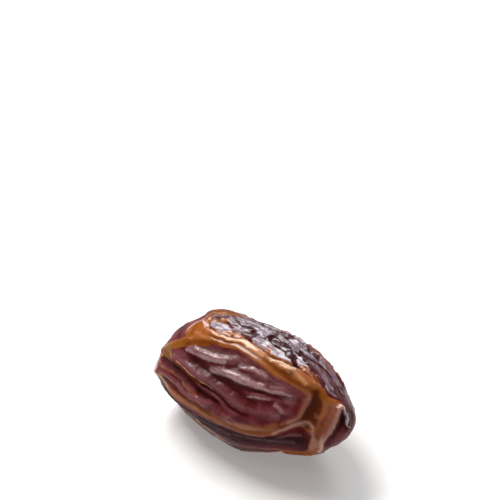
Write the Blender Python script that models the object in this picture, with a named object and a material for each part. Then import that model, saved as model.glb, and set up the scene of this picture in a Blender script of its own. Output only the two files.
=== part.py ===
"""A medjool date lying on its side: one grown fruit, with its folds, creases, stem scar and tip.

Metres, +Z up. The fruit's length runs along X, from the stem end at -X to the tip at +X.
The origin is on the surface that the fruit lies on, under the middle of its box.
A place on the skin is given as (millimetres along from the middle, degrees round the fruit),
where 0 degrees is the top, 90 the front (-Y), 180 the underside and -90 the back (+Y).
"""

from collections import namedtuple

import bmesh
import bpy
import numpy as np
from mathutils import Vector, noise

MM = 0.001

# The plain form, before any fold
HALF_LENGTH = 23.0 * MM
HALF_WIDTH = 12.5 * MM
HALF_HEIGHT = 11.8 * MM
STEM_BLUNTNESS = 2.37
TIP_BLUNTNESS = 2.12
SPREAD_BLUNTNESS = 2.25
TIP_NARROWING = 0.10
TIP_LIFT = 1.4 * MM

# The spot that the fruit's weight presses flat
FLAT_DEPTH = 0.45 * MM
PRESSED_LENGTH = 11.0 * MM
PRESSED_WIDTH = 6.5 * MM

# The scar where the stalk was, and the dry point at the tip
SCAR_PLACE = (-22.4, -35)
SCAR_RADIUS = 2.1 * MM
SCAR_DEPTH = 0.7 * MM
SCAR_RIM_RADIUS = 3.0 * MM
SCAR_RIM_WIDTH = 0.9 * MM
SCAR_RIM_HEIGHT = 0.25 * MM
POINT_PLACE = (22.8, 45)
POINT_RADIUS = 0.9 * MM
POINT_HEIGHT = 0.5 * MM

# The mesh: cells across one side of the starting cube, and along the fruit
CELLS_ACROSS = 24
CELLS_ALONG = 48

# Fine wrinkles between the folds
WRINKLE_SPACING = 3.1 * MM
WRINKLE_STRETCH = 2.6
WRINKLE_WANDER = 0.55
WRINKLE_SHARPNESS = 2.6
WRINKLE_SEED = 1

# How narrow a fold may be, how its crest is rounded, how its ends fade, and how folds join
LEAST_HALF_WIDTH = 0.8
CREST_ROUNDING = 0.7
END_FADE = 0.16
END_HEIGHT = 0.3
JOIN_POWER = 3.0
STEPS_PER_SPAN = 6
REACH_IN_WIDTHS = 5.0

# A broad swelling (or hollow, where the height is negative)
Swell = namedtuple("Swell", "along round half_length half_width height")
SWELLS = (
    # The slanted stem end and its shoulder
    Swell(-21.0, -10, 4.5, 9.0, -1.2),
    Swell(-13.5, -38, 3.6, 4.2, 0.9),
    Swell(-7.5, -45, 2.6, 3.0, -0.5),
    Swell(-19.0, 106, 2.6, 3.2, 0.6),
    Swell(-22.0, 50, 3.0, 5.0, -0.5),
    Swell(-17.0, 138, 5.0, 5.0, -0.4),
    Swell(1.0, 126, 5.0, 3.0, 0.35),
    Swell(10.0, 138, 5.0, 4.0, -0.5),
    # The lifted underside of the tip
    Swell(15.0, 130, 8.0, 8.0, -0.9),
    Swell(17.0, 108, 4.0, 4.0, 0.8),
    Swell(21.8, 75, 2.8, 4.5, 0.9),
    Swell(22.6, -65, 3.0, 3.5, 0.6),
    Swell(16.5, -58, 4.5, 5.0, -0.5),
    # The sunken faces between the big folds
    Swell(2.0, 47, 12.0, 5.4, -0.8),
    Swell(-6.0, 69, 7.0, 2.2, -0.35),
    Swell(1.0, 104, 11.0, 2.8, -0.6),
    Swell(15.6, 86, 2.8, 2.6, -0.7),
    Swell(18.4, 38, 1.7, 4.6, -0.75),
    Swell(6.0, -22, 12.0, 5.0, -0.45),
    Swell(0.0, -70, 13.0, 3.2, -0.6),
    Swell(2.0, -120, 13.0, 3.6, -0.5),
    Swell(-9.0, 118, 5.0, 3.0, -0.35),
)

# A fold of skin: height, half width, lean (positive is steeper on its lower-angle side), and its route
Fold = namedtuple("Fold", "height half_width lean route")
FOLDS = (
    # The big fold along the top, from the stem shoulder to the tip
    Fold(1.15, 1.15, 0.35, ((-12.9, 1), (-11.7, 6.5), (-9.3, 12), (-6, 11.5), (-3.5, 10), (-0.8, 5.8),
         (2.2, 6.5), (4.9, 8.4), (7.2, 6.5), (10.3, 3.2), (13, 4), (15.5, 5), (18, 3.5), (19.8, -2),
         (21, -22))),
    # The fold inside it, which runs down round the sunken face as a hem
    Fold(0.6, 0.95, 0.0, ((-12.5, 24), (-9.5, 20.5), (-6, 19), (-2, 18.5), (2, 19), (6, 19.5),
         (10, 19.5), (13.5, 18.5), (15.6, 18.5))),
    Fold(0.42, 0.6, 0.0, ((15.6, 18), (16.2, 24), (16.2, 31), (16.1, 38), (16.2, 48), (16.0, 56),
         (15.3, 62), (13.9, 66.5))),
    # Rounded wrinkles across the sunken face
    Fold(0.6, 0.9, -0.35, ((-11.9, 39.5), (-10, 39.5), (-8.4, 38.5), (-6.5, 37), (-5, 35.5), (-3.5, 34),
         (-2, 31), (-0.7, 30), (1, 27))),
    Fold(0.5, 0.75, -0.25, ((1.6, 27.5), (3.2, 27.5), (5, 27.3), (7, 27.3), (9, 26.3), (11, 25.5),
         (13.4, 25.5))),
    Fold(0.7, 0.85, -0.35, ((-4.2, 42), (-2.6, 43.5), (-1, 43.8), (1, 43.4), (3, 42), (4.6, 40.8),
         (6.3, 38.3), (7.9, 36.9), (9.8, 35), (12.3, 32.2), (14.3, 30))),
    Fold(0.4, 0.55, -0.2, ((5.2, 51), (7.3, 49.3), (9.3, 46.2), (11.2, 44.5))),
    Fold(0.3, 0.8, 0.0, ((10.8, 50), (12.4, 52), (13.8, 55))),
    Fold(0.35, 0.6, 0.0, ((9.4, 62), (11, 60.5), (12.5, 60.3), (13.5, 62.8), (14, 66.5))),
    # The thick smooth roll, and the thin edge of skin beside it
    Fold(0.95, 1.15, 0.1, ((-16, 44.5), (-14.3, 48), (-12, 49.8), (-9.9, 51.5), (-7.5, 52.7), (-5, 54),
         (-2.6, 55.5), (-0.2, 57), (1.5, 59.5), (3, 62.3), (4.4, 64.6), (5.8, 66.5), (7.4, 67.6))),
    Fold(0.75, 0.5, -0.3, ((-15.5, 55.5), (-13.7, 55.5), (-10.7, 56.6), (-7.4, 58.8), (-4.7, 60.2),
         (-2.8, 60.8))),
    Fold(0.4, 0.5, 0.0, ((-7.5, 64.5), (-5, 65.3), (-2.5, 66.6), (-0.6, 68.2), (1.5, 71.3), (4, 73.6),
         (6.5, 74))),
    # The long hem low on the front, which climbs round the tip end of the sunken face
    Fold(1.15, 1.0, -0.45, ((-16.8, 90), (-15, 93.5), (-12.5, 95.5), (-10, 96), (-7, 96), (-4, 94.8),
         (-1, 92.3), (2, 90), (5.7, 89.4), (8.8, 89), (10.6, 87), (12.2, 84), (13.9, 81.2), (15, 77),
         (16, 70), (17.2, 60.5), (18.4, 56.5))),
    Fold(0.55, 0.9, -0.1, ((1.6, 80.5), (3.6, 82), (5.4, 82.4), (7.7, 82.4), (10, 79.5), (12.2, 74.5),
         (13.8, 68.5))),
    Fold(1.0, 0.9, 0.15, ((-21.6, 108), (-20.3, 100), (-18.3, 88.5), (-16, 80.5), (-14.3, 76.2),
         (-12, 75), (-10.5, 76.5), (-9, 78.8), (-6.5, 79.6), (-3, 77.3), (0, 73.5))),
    Fold(0.7, 0.7, 0.0, ((-21.2, 50), (-20.9, 62), (-20.4, 72), (-19, 78.5), (-16.8, 74.5),
         (-14.5, 70.5), (-12.7, 68.7), (-11.2, 68.5), (-9, 70), (-7.3, 72.5), (-4.6, 75))),
    # Folds that gather towards the stem end
    Fold(0.85, 0.95, 0.1, ((-21.2, 66), (-19.9, 58), (-18.2, 51), (-16.4, 43.5), (-14.6, 35), (-13, 29),
         (-11.6, 23))),
    Fold(0.6, 0.8, 0.2, ((-13, 1), (-13.8, 8), (-14.3, 15), (-14.4, 22), (-14.2, 29))),
    Fold(0.55, 0.8, 0.0, ((-13, 1), (-12.6, -8), (-13.4, -18), (-15.2, -26), (-17.4, -30))),
    Fold(0.6, 0.8, 0.0, ((-20.8, 22), (-18.6, 2), (-16.6, -12), (-14.6, -22), (-12, -30))),
    Fold(0.6, 0.8, 0.0, ((-21.4, -95), (-19.2, -78), (-16.5, -66), (-13, -60))),
    Fold(0.6, 0.8, 0.0, ((-21.4, -150), (-19.4, -128), (-17, -120), (-14, -118))),
    Fold(0.55, 0.8, 0.0, ((-21.6, 170), (-19.6, 158), (-17, 150), (-13.5, 147))),
    Fold(0.55, 0.75, 0.0, ((-21.4, 128), (-19.5, 122), (-16.5, 114), (-13, 109), (-9, 107.5),
         (-6, 109))),
    # Folds round the tip
    Fold(0.65, 0.75, -0.2, ((20.9, -62), (21.2, -30), (21.35, -6), (21.5, 8), (21.7, 24), (21.5, 39),
         (21.4, 54), (21.3, 67), (21.1, 80), (20.9, 92), (20.6, 104), (20.2, 120), (19.6, 138))),
    Fold(0.85, 0.95, 0.0, ((18.2, 57), (19, 66), (19.6, 76), (19.9, 87), (19.8, 98), (19.4, 113),
         (18.7, 130), (17.2, 148))),
    Fold(0.8, 1.15, 0.0, ((12.5, 128), (15.2, 131), (17.6, 134), (19.4, 141), (20.2, 156))),
    Fold(0.35, 0.45, 0.0, ((19.2, 45.5), (19.25, 48))),
    Fold(0.6, 0.8, 0.0, ((21.3, -100), (19.6, -98), (17, -93), (14, -91))),
    Fold(0.6, 0.8, 0.0, ((21.2, -150), (19.4, -140), (16.8, -136), (14, -134))),
    # Low ridges on the shaded front, under the long hem
    Fold(0.55, 0.75, -0.2, ((-7, 113), (-5, 112.5), (-2.5, 111), (0, 108.5), (2.2, 107.5), (5.8, 108),
         (8.4, 109.5))),
    Fold(0.5, 0.7, 0.0, ((0, 120), (3, 119), (6, 117.5), (9, 116.5), (12.3, 118.5))),
    Fold(0.45, 0.8, 0.0, ((10.4, 98), (12.5, 95), (14.5, 96), (16.6, 97.5), (18.6, 96))),
    Fold(0.35, 0.6, 0.0, ((13.6, 86), (15.4, 83), (17.2, 80))),
    # Crumpled skin behind the big fold
    Fold(0.55, 0.7, 0.2, ((-11.6, -12), (-9.6, -7), (-7.3, -4.5), (-5.2, -3.5), (-3.4, -2.6),
         (-1.2, -2))),
    Fold(0.5, 0.6, 0.2, ((-8.8, -14), (-6.2, -13.5), (-3.5, -14), (-1, -14.5), (1.5, -15), (3.4, -13))),
    Fold(0.45, 0.5, 0.0, ((-3.6, -7), (-1.4, -7.4), (0.6, -6.4), (2.4, -4.4), (3.8, -0.5))),
    Fold(0.5, 0.6, 0.3, ((-6.4, -24), (-3, -24), (0.4, -26), (3, -25), (5.4, -21.5), (7.6, -20))),
    Fold(0.5, 0.55, 0.0, ((4.6, -3.5), (6, -7.5), (8, -9.5), (10.4, -9), (12.4, -7))),
    Fold(0.5, 0.6, 0.0, ((5, -14), (7.4, -14.5), (9.6, -17), (11.6, -19.5), (14, -19), (16, -16))),
    Fold(0.4, 0.5, 0.0, ((8, -2.5), (10.2, -3), (12.2, -2.5), (13.8, -1))),
    Fold(0.4, 0.45, 0.0, ((12.8, -6), (14.4, -6.5), (15.9, -4.5), (16.7, -1))),
    Fold(0.4, 0.5, 0.0, ((13.8, -14), (15.6, -12), (17.2, -9), (18.6, -7))),
    Fold(0.5, 0.6, 0.0, ((8.8, -30), (11.2, -31), (13.8, -29), (16.4, -30), (18.6, -35))),
    Fold(0.55, 0.7, 0.0, ((-9, -36), (-6, -38), (-2.6, -38), (0.6, -40), (4, -39), (7.2, -40),
         (10.6, -43))),
    # The hidden back and underside
    Fold(0.85, 0.9, 0.2, ((-15.5, -52), (-12, -57), (-7, -58), (-2, -55.5), (3, -54), (8, -54.5),
         (13, -56), (17, -61), (20, -72))),
    Fold(0.95, 1.05, 0.0, ((-18.8, -82), (-15, -81), (-10, -85.5), (-4, -85), (2, -80), (7, -80.5),
         (12, -84), (16, -88), (19.5, -98))),
    Fold(0.6, 0.75, 0.0, ((-7, -86), (-4.2, -92), (-0.8, -97), (3.2, -99.5), (7.4, -98))),
    Fold(0.55, 0.7, 0.0, ((-10, -70), (-6.5, -71.5), (-2.5, -69.5), (1.5, -66.5), (5.5, -67), (9, -70))),
    Fold(0.85, 0.95, 0.0, ((-18.6, -104), (-14, -107), (-8.5, -104.5), (-3, -108), (3, -112.5),
         (9, -112), (14.5, -109), (19, -113))),
    Fold(0.55, 0.7, 0.0, ((-12, -117), (-8, -119), (-4, -121.5), (0.5, -122.5), (5, -125))),
    Fold(0.75, 0.9, 0.0, ((-19.2, -136), (-14.6, -134), (-9, -131), (-3.5, -133.5), (2.5, -138),
         (8, -136), (13.5, -133), (18.8, -138))),
    Fold(0.5, 0.8, 0.0, ((-17, -158), (-12.5, -154), (-8, -152.5), (-4, -155))),
    Fold(0.5, 0.8, 0.0, ((7, -158), (11, -155), (15, -157), (18.8, -165))),
    Fold(0.65, 0.85, 0.0, ((-15, 124), (-11, 126.5), (-6, 130), (-1, 132.5), (4, 133.5), (9, 136),
         (13.5, 141))),
    Fold(0.5, 0.8, 0.0, ((-16, 158), (-12, 152), (-8, 151), (-4, 154))),
)

# A sharp crease pressed into the skin: depth, half width, and its route
Crease = namedtuple("Crease", "depth half_width route")
CREASES = (
    # Under the thin edge of skin, then along the thick roll
    Crease(0.6, 0.42, ((-14, 58), (-10.7, 59.2), (-7.4, 61.2), (-4, 62.8), (-1.5, 64.8), (1.1, 67.6),
         (3.8, 70), (6.5, 70.8), (8.4, 69.5))),
    # The deep valley above the roll
    Crease(0.8, 0.95, ((-11, 41.8), (-9, 43.5), (-7.2, 44.8), (-4.2, 47.2), (-1.5, 49.3), (1, 51.2),
         (4.2, 54), (6.3, 55.6), (8.3, 55.6), (10.2, 54.5))),
    # Under each rounded wrinkle of the sunken face
    Crease(0.5, 0.4, ((-9.6, 42), (-7.5, 40.8), (-5.5, 38.4), (-3.9, 36.9), (-2.4, 33.6), (-1.2, 32.5),
         (0.1, 31), (1.3, 28.5), (2.8, 24.5), (4.4, 22.4))),
    Crease(0.45, 0.45, ((0.5, 34), (2.5, 35.3), (4.5, 34.2), (6.5, 32), (8.5, 30.2), (10.5, 28.5))),
    Crease(0.55, 0.4, ((2.3, 47.2), (4.3, 45), (5.9, 42.4), (7.7, 40.5), (9.6, 38.8), (10.8, 37.4),
         (12.7, 35), (14.8, 32.6))),
    Crease(0.35, 0.5, ((-10.8, 33), (-8.5, 33.2), (-6, 31), (-3.5, 28), (-1, 25))),
    Crease(0.3, 0.4, ((9.6, 49.5), (11.4, 47.8), (13.4, 47.5))),
    Crease(0.35, 0.5, ((8.4, 60), (9.4, 58), (11.2, 57.2))),
    # In the shaded strip beside the roll
    Crease(0.45, 0.5, ((-6.6, 68.5), (-5.4, 71.2), (-3, 72.2), (-1, 72.4), (0.8, 73.5))),
    Crease(0.35, 0.45, ((-18.6, 62), (-16, 61.5), (-13.2, 62), (-10.6, 64))),
    # Under the big fold, and behind it
    Crease(0.4, 0.6, ((-12.4, 14), (-10, 16.5), (-6, 15.8), (-2, 14.2), (2, 14.5), (6, 15.3), (10, 14),
         (14, 13.2))),
    Crease(0.45, 0.4, ((-11, 2.5), (-9, 6.2), (-6.5, 6.5), (-4, 4.5), (-1.6, 0.5), (1.6, 1), (4.8, 2.6),
         (7.4, 1.6), (10.4, -0.8))),
    # Round the cap of the tip, and beside the lower hem
    Crease(0.3, 0.5, ((22, 5), (22.15, 30), (22, 55), (21.7, 80))),
    Crease(0.45, 0.5, ((-13, 84), (-9.5, 86), (-6, 87.2), (-2, 86), (2, 85.8), (5.5, 86), (9, 84.5),
         (12, 79.5), (14.6, 72))),
)

# Where the fine wrinkles are strong: a patch's place, size and wrinkle height
Patch = namedtuple("Patch", "along round half_length half_width height")
PATCHES = (
    Patch(4.0, -22, 12.0, 5.0, 0.42),
    Patch(-8.0, -20, 5.0, 4.0, 0.25),
    Patch(0.0, -75, 15.0, 6.0, 0.40),
    Patch(2.0, -118, 15.0, 6.0, 0.38),
    Patch(-2.0, 45, 11.0, 4.5, 0.14),
    Patch(0.0, 112, 13.0, 3.5, 0.20),
    Patch(-4.0, 140, 14.0, 4.0, 0.30),
    Patch(18.0, -35, 4.0, 5.0, 0.25),
)


def ease(low, high, value):
    """0 below low, 1 above high, and a smooth step between."""
    share = np.clip((value - low) / (high - low), 0.0, 1.0)
    return share * share * (3.0 - 2.0 * share)


def skin_point(share, sine, cosine):
    """The plain form's point at this share of the half length, in the direction round the fruit."""
    bluntness = STEM_BLUNTNESS + (TIP_BLUNTNESS - STEM_BLUNTNESS) * ease(-0.6, 0.6, share)
    across = np.maximum(1.0 - np.abs(share) ** bluntness, 0.0) ** (1.0 / bluntness)
    across = across * (1.0 - TIP_NARROWING * ease(0.1, 1.0, share))
    lift = TIP_LIFT * ease(0.2, 1.0, share)
    return np.stack(
        (HALF_LENGTH * share, -HALF_WIDTH * across * sine, HALF_HEIGHT * across * cosine + lift), axis=-1
    )


def place(along, round_degrees):
    """The plain form's point at a place in millimetres along and degrees round."""
    angle = np.radians(np.asarray(round_degrees, float))
    return skin_point(np.asarray(along, float) * MM / HALF_LENGTH, np.sin(angle), np.cos(angle))


def plain_form(directions):
    """Points of the plain form for unit directions from its middle."""
    along = directions[:, 0]
    across = np.maximum(np.hypot(directions[:, 1], directions[:, 2]), 1e-12)
    reach = (np.abs(along) ** SPREAD_BLUNTNESS + across**SPREAD_BLUNTNESS) ** (-1.0 / SPREAD_BLUNTNESS)
    return skin_point(along * reach, -directions[:, 1] / across, directions[:, 2] / across)


def smooth_route(route):
    """The route as points on the plain form, on a smooth curve through its places."""
    places = np.array(route, float)
    padded = np.vstack((2 * places[0] - places[1], places, 2 * places[-1] - places[-2]))
    steps = np.linspace(0.0, 1.0, STEPS_PER_SPAN, endpoint=False)[:, None]
    curve = []
    for before, start, end, after in zip(padded, padded[1:], padded[2:], padded[3:]):
        curve.append(
            0.5
            * (
                2 * start
                + (end - before) * steps
                + (2 * before - 5 * start + 4 * end - after) * steps**2
                + (3 * start - before - 3 * end + after) * steps**3
            )
        )
    curve = np.vstack((*curve, places[-1:]))
    return place(curve[:, 0], curve[:, 1])


def along_route(points, normals, route, reach):
    """For the points within reach of a route: their indices, distance, side and share of the way along.

    The side is 1 or -1.
    """
    path = smooth_route(route)
    low, high = path.min(axis=0) - reach, path.max(axis=0) + reach
    near = np.flatnonzero(((points > low) & (points < high)).all(axis=1))
    starts, spans = path[:-1], np.diff(path, axis=0)
    lengths = np.linalg.norm(spans, axis=1)
    before = np.concatenate(([0.0], np.cumsum(lengths)))
    offset = points[near][:, None, :] - starts[None]
    share = np.clip((offset * spans).sum(axis=2) / lengths**2, 0.0, 1.0)
    gap = offset - share[..., None] * spans
    distance = np.linalg.norm(gap, axis=2)
    nearest = distance.argmin(axis=1)
    rows = np.arange(len(near))
    turn = np.cross(spans[nearest], normals[near])
    side = np.sign((turn * gap[rows, nearest]).sum(axis=1))
    travelled = (before[nearest] + share[rows, nearest] * lengths[nearest]) / before[-1]
    return near, distance[rows, nearest], side, travelled


def profile(ratio):
    """A crest with a small rounding at 0 that falls away on both sides."""
    return np.exp(CREST_ROUNDING - np.sqrt(ratio**2 + CREST_ROUNDING**2))


def end_fade(travelled):
    """Lower at both ends of a route, full height between."""
    middle = ease(0.0, END_FADE, travelled) * ease(0.0, END_FADE, 1.0 - travelled)
    return END_HEIGHT + (1.0 - END_HEIGHT) * middle


def joined_routes(points, normals, rows):
    """The height of several routes together: rows of (height, half width, lean, route).

    Where they meet, the higher rules.
    """
    total = np.zeros(len(points))
    for height, half_width, lean, route in rows:
        near, distance, side, travelled = along_route(
            points, normals, route, REACH_IN_WIDTHS * half_width * MM
        )
        width = MM * np.maximum(half_width * (1.0 + lean * side), LEAST_HALF_WIDTH)
        rise = height * MM * profile(distance / width) * end_fade(travelled)
        total[near] += rise**JOIN_POWER
    return total ** (1.0 / JOIN_POWER)


def swelling(points, rows):
    """The sum of smooth swellings, each an oval on the skin."""
    total = np.zeros(len(points))
    for along, round_degrees, half_length, half_width, height in rows:
        gap = (points - place(along, round_degrees)) / MM
        oval = (gap[:, 0] / half_length) ** 2 + (gap[:, 1] ** 2 + gap[:, 2] ** 2) / half_width**2
        total += height * MM * np.exp(-oval)
    return total


def wrinkles(points):
    """Long thin crests that wander over the skin, from 0 between them to 1 on each crest."""
    noise.seed_set(WRINKLE_SEED)
    scale = np.array((1.0 / WRINKLE_STRETCH, 1.0, 1.0)) / WRINKLE_SPACING
    crests = np.empty(len(points))
    for index, point in enumerate(points * scale):
        spot = Vector(point)
        spot += WRINKLE_WANDER * noise.noise_vector(spot * 0.7)
        crests[index] = abs(noise.noise(spot))
    return np.exp(-WRINKLE_SHARPNESS * crests) - np.exp(-WRINKLE_SHARPNESS)


def scar_and_point(points):
    """The sunken stalk scar with its raised rim, and the small dry point at the tip."""
    from_scar = np.linalg.norm(points - place(*SCAR_PLACE), axis=1)
    from_tip = np.linalg.norm(points - place(*POINT_PLACE), axis=1)
    hollow = SCAR_DEPTH * np.exp(-((from_scar / SCAR_RADIUS) ** 4))
    rim = SCAR_RIM_HEIGHT * np.exp(-(((from_scar - SCAR_RIM_RADIUS) / SCAR_RIM_WIDTH) ** 2))
    return rim - hollow + POINT_HEIGHT * np.exp(-((from_tip / POINT_RADIUS) ** 2))


def pressed(points):
    """1 over the spot that carries the fruit, where its weight has smoothed the skin, 0 away from it."""
    spread = (points - place(0, 180)) / (PRESSED_LENGTH, PRESSED_WIDTH, PRESSED_WIDTH)
    return np.exp(-((spread**2).sum(axis=1) ** 2))


def relief(points, normals):
    """How far the skin stands out of the plain form at each point."""
    folds = joined_routes(points, normals, FOLDS)
    creases = joined_routes(points, normals, [(c.depth, c.half_width, 0.0, c.route) for c in CREASES])
    fine = swelling(points, PATCHES) * wrinkles(points)
    smoothed = 1.0 - pressed(points)
    return (folds - creases + fine) * smoothed + swelling(points, SWELLS) + scar_and_point(points)


def cube_as_ball(corner):
    """The unit ball's direction for a point on the cube from -1 to 1, with even spacing."""
    x, y, z = corner
    return Vector(
        (
            x * (1 - y * y / 2 - z * z / 2 + y * y * z * z / 3) ** 0.5,
            y * (1 - z * z / 2 - x * x / 2 + z * z * x * x / 3) ** 0.5,
            z * (1 - x * x / 2 - y * y / 2 + x * x * y * y / 3) ** 0.5,
        )
    )


def ball_mesh(cells_across, cells_along):
    """A ball of even four-sided cells, with its own count of cells along X."""
    shape = bmesh.new()
    bmesh.ops.create_cube(shape, size=2.0)
    lengthwise = [e for e in shape.edges if abs(e.verts[0].co.x - e.verts[1].co.x) > 1.0]
    bmesh.ops.subdivide_edges(shape, edges=lengthwise, cuts=cells_along - 1, use_grid_fill=True)
    crosswise = [e for e in shape.edges if abs(e.verts[0].co.x - e.verts[1].co.x) < 1e-6]
    bmesh.ops.subdivide_edges(shape, edges=crosswise, cuts=cells_across - 1, use_grid_fill=True)
    for vertex in shape.verts:
        vertex.co = cube_as_ball(vertex.co)
    mesh = bpy.data.meshes.new("medjool_date")
    shape.to_mesh(mesh)
    shape.free()
    return mesh


def read_vectors(items, field):
    values = np.empty(len(items) * 3, np.float32)
    items.foreach_get(field, values)
    return values.reshape(-1, 3).astype(float)


def write_points(mesh, points):
    mesh.vertices.foreach_set("co", points.astype(np.float32).ravel())
    mesh.update()


def set_down(points):
    """The fruit rests on a flat spot at height 0, under the middle of its box."""
    floor = points[:, 2].min() + FLAT_DEPTH
    settled = points.copy()
    settled[:, 2] = np.maximum(points[:, 2], floor) - floor
    middle = (points.min(axis=0) + points.max(axis=0)) / 2
    settled[:, :2] -= middle[:2]
    return settled


def skin_material():
    material = bpy.data.materials.new("date_skin")
    material.use_nodes = True
    shader = material.node_tree.nodes["Principled BSDF"]
    shader.inputs["Base Color"].default_value = (0.13, 0.028, 0.014, 1.0)
    shader.inputs["Roughness"].default_value = 0.3
    shader.inputs["Metallic"].default_value = 0.0
    return material


def grown_form(plain, normals):
    """The plain form's points with the skin's relief."""
    return plain + normals * relief(plain, normals)[:, None]


def split_cells(mesh, middles):
    """Cuts each four-sided cell along the diagonal that passes nearer the skin's true middle there."""
    shape = bmesh.new()
    shape.from_mesh(mesh)
    for face, middle in zip(list(shape.faces), middles):
        a, b, c, d = face.verts
        one_way = ((a.co + c.co) / 2 - Vector(middle)).length
        other_way = ((b.co + d.co) / 2 - Vector(middle)).length
        bmesh.utils.face_split(face, *((a, c) if one_way < other_way else (b, d)))
    shape.to_mesh(mesh)
    shape.free()


def make_date(collection):
    mesh = ball_mesh(CELLS_ACROSS, CELLS_ALONG)
    directions = read_vectors(mesh.vertices, "co")
    corners = np.array([cell.vertices for cell in mesh.polygons])
    middles = directions[corners].mean(axis=1)
    plain = plain_form(directions)
    write_points(mesh, plain)
    normals = read_vectors(mesh.vertex_normals, "vector")
    middle_normals = read_vectors(mesh.polygon_normals, "vector")
    write_points(mesh, grown_form(plain, normals))
    split_cells(mesh, grown_form(plain_form(middles), middle_normals))
    write_points(mesh, set_down(read_vectors(mesh.vertices, "co")))
    mesh.shade_smooth()
    mesh.materials.append(skin_material())
    collection.objects.link(bpy.data.objects.new("medjool_date", mesh))


def main():
    for old in list(bpy.data.objects):
        bpy.data.objects.remove(old)
    fruit = bpy.data.collections.new("medjool_date")
    bpy.context.scene.collection.children.link(fruit)
    make_date(fruit)


main()
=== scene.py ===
"""The looks of one medjool date: its wrinkled, glossy skin, on a pale table under soft studio light.

Metres, +Z up. The fruit's length runs along X, from the stem end at -X to the tip at +X.
A place on the skin is given as (millimetres along from the middle, degrees round the fruit),
where 0 degrees is the top, 90 the front (-Y), 180 the underside and -90 the back (+Y).
"""
from collections import namedtuple
from functools import cache
from math import atan, cos, pi, radians, sin

import bmesh
import bpy
import numpy as np
from mathutils import Matrix, Vector, noise


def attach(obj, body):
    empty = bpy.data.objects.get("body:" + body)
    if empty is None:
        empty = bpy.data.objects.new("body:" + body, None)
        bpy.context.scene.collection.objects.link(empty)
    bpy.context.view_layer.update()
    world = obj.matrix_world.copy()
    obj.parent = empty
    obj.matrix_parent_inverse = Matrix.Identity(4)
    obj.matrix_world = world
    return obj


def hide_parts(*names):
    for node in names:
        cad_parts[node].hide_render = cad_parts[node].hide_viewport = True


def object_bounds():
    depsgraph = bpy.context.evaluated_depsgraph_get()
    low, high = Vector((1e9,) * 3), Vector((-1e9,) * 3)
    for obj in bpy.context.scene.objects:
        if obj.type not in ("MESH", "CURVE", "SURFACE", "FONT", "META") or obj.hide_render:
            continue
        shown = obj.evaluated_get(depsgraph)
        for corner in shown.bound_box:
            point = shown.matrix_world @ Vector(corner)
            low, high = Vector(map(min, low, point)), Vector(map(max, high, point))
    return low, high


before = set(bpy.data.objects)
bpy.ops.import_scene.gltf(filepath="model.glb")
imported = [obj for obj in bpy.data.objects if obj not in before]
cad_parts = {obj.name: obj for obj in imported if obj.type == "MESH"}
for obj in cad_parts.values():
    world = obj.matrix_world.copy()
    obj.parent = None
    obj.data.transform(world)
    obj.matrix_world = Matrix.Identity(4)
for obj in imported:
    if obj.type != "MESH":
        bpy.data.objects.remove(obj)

cad_low, cad_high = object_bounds()

MM = 0.001

# The plain form, before any fold, as in the solid
HALF_LENGTH = 23.0 * MM
HALF_WIDTH = 12.5 * MM
HALF_HEIGHT = 11.8 * MM
STEM_BLUNTNESS = 2.37
TIP_BLUNTNESS = 2.12
SPREAD_BLUNTNESS = 2.25
TIP_NARROWING = 0.10
TIP_LIFT = 1.4 * MM
FORM_MIDDLE = Vector((-0.8, -0.13, 11.34)) * MM

# The spot that the fruit's weight presses flat
FLAT_DEPTH = 0.45 * MM
PRESSED_LENGTH = 11.0 * MM
PRESSED_WIDTH = 6.5 * MM

# The scar where the stalk was, and the dry point at the tip
SCAR_PLACE = (-22.4, -35)
SCAR_RADIUS = 2.1 * MM
SCAR_DEPTH = 0.7 * MM
SCAR_RIM_RADIUS = 3.0 * MM
SCAR_RIM_WIDTH = 0.9 * MM
SCAR_RIM_HEIGHT = 0.25 * MM
POINT_PLACE = (22.8, 45)
POINT_RADIUS = 0.9 * MM
POINT_HEIGHT = 0.5 * MM

# The mesh: cells across one side of the starting cube, and along the fruit
CELLS_ACROSS = 100
CELLS_ALONG = 160

# How the profile of a fold is rounded, how its ends fade, and how folds join
SHARP = 0.3
SOFT = 1.2
END_FADE = 0.16
END_HEIGHT = 0.3
JOIN_POWER = 3.0
STEPS_PER_SPAN = 6
REACH_IN_WIDTHS = 5.0

# The seed of all that wanders, and how far the lines of the skin stray from their routes, over what length
SKIN_SEED = 1
STRAYS = ((0.26 * MM, 2.4 * MM), (0.13 * MM, 0.9 * MM))

# Routes that a fold shares with its colour. The first leaves out both ends of the big fold along the top
BIG_FOLD_MIDDLE = (
    (-12.4, 6.5), (-11.3, 10.5), (-9.8, 13), (-7.9, 13.6), (-5.5, 12.6), (-3.3, 9.8), (-1.4, 7), (0.5, 7.6),
    (2.7, 8.8), (5.3, 9.6), (7.3, 7.8), (9.4, 5.6), (11.5, 3.8), (13.3, 4.4), (15.5, 5.5), (17.2, 5),
)
LIP = ((15.6, 18), (16.3, 24), (16.3, 31), (16.3, 38), (16.2, 48), (15.9, 56), (15.2, 62), (13.9, 67.5))
UPPER_BACK = (
    (-15.5, -52), (-12, -57), (-7, -58), (-2, -55.5), (3, -54), (8, -54.5), (13, -56), (17, -61), (20, -72),
)
MIDDLE_BACK = (
    (-18.8, -82), (-15, -81), (-10, -85.5), (-4, -85), (2, -80), (7, -80.5), (12, -84), (16, -88),
    (19.5, -98),
)
LOWER_BACK = (
    (-18.6, -104), (-14, -107), (-8.5, -104.5), (-3, -108), (3, -112.5), (9, -112), (14.5, -109), (19, -113),
)
BACK_UNDERSIDE = (
    (-19.2, -136), (-14.6, -134), (-9, -131), (-3.5, -133.5), (2.5, -138), (8, -136), (13.5, -133),
    (18.8, -138),
)
FRONT_UNDERSIDE = ((-15, 124), (-11, 126.5), (-6, 130), (-1, 132.5), (4, 133.5), (9, 136), (13.5, 141))

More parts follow.
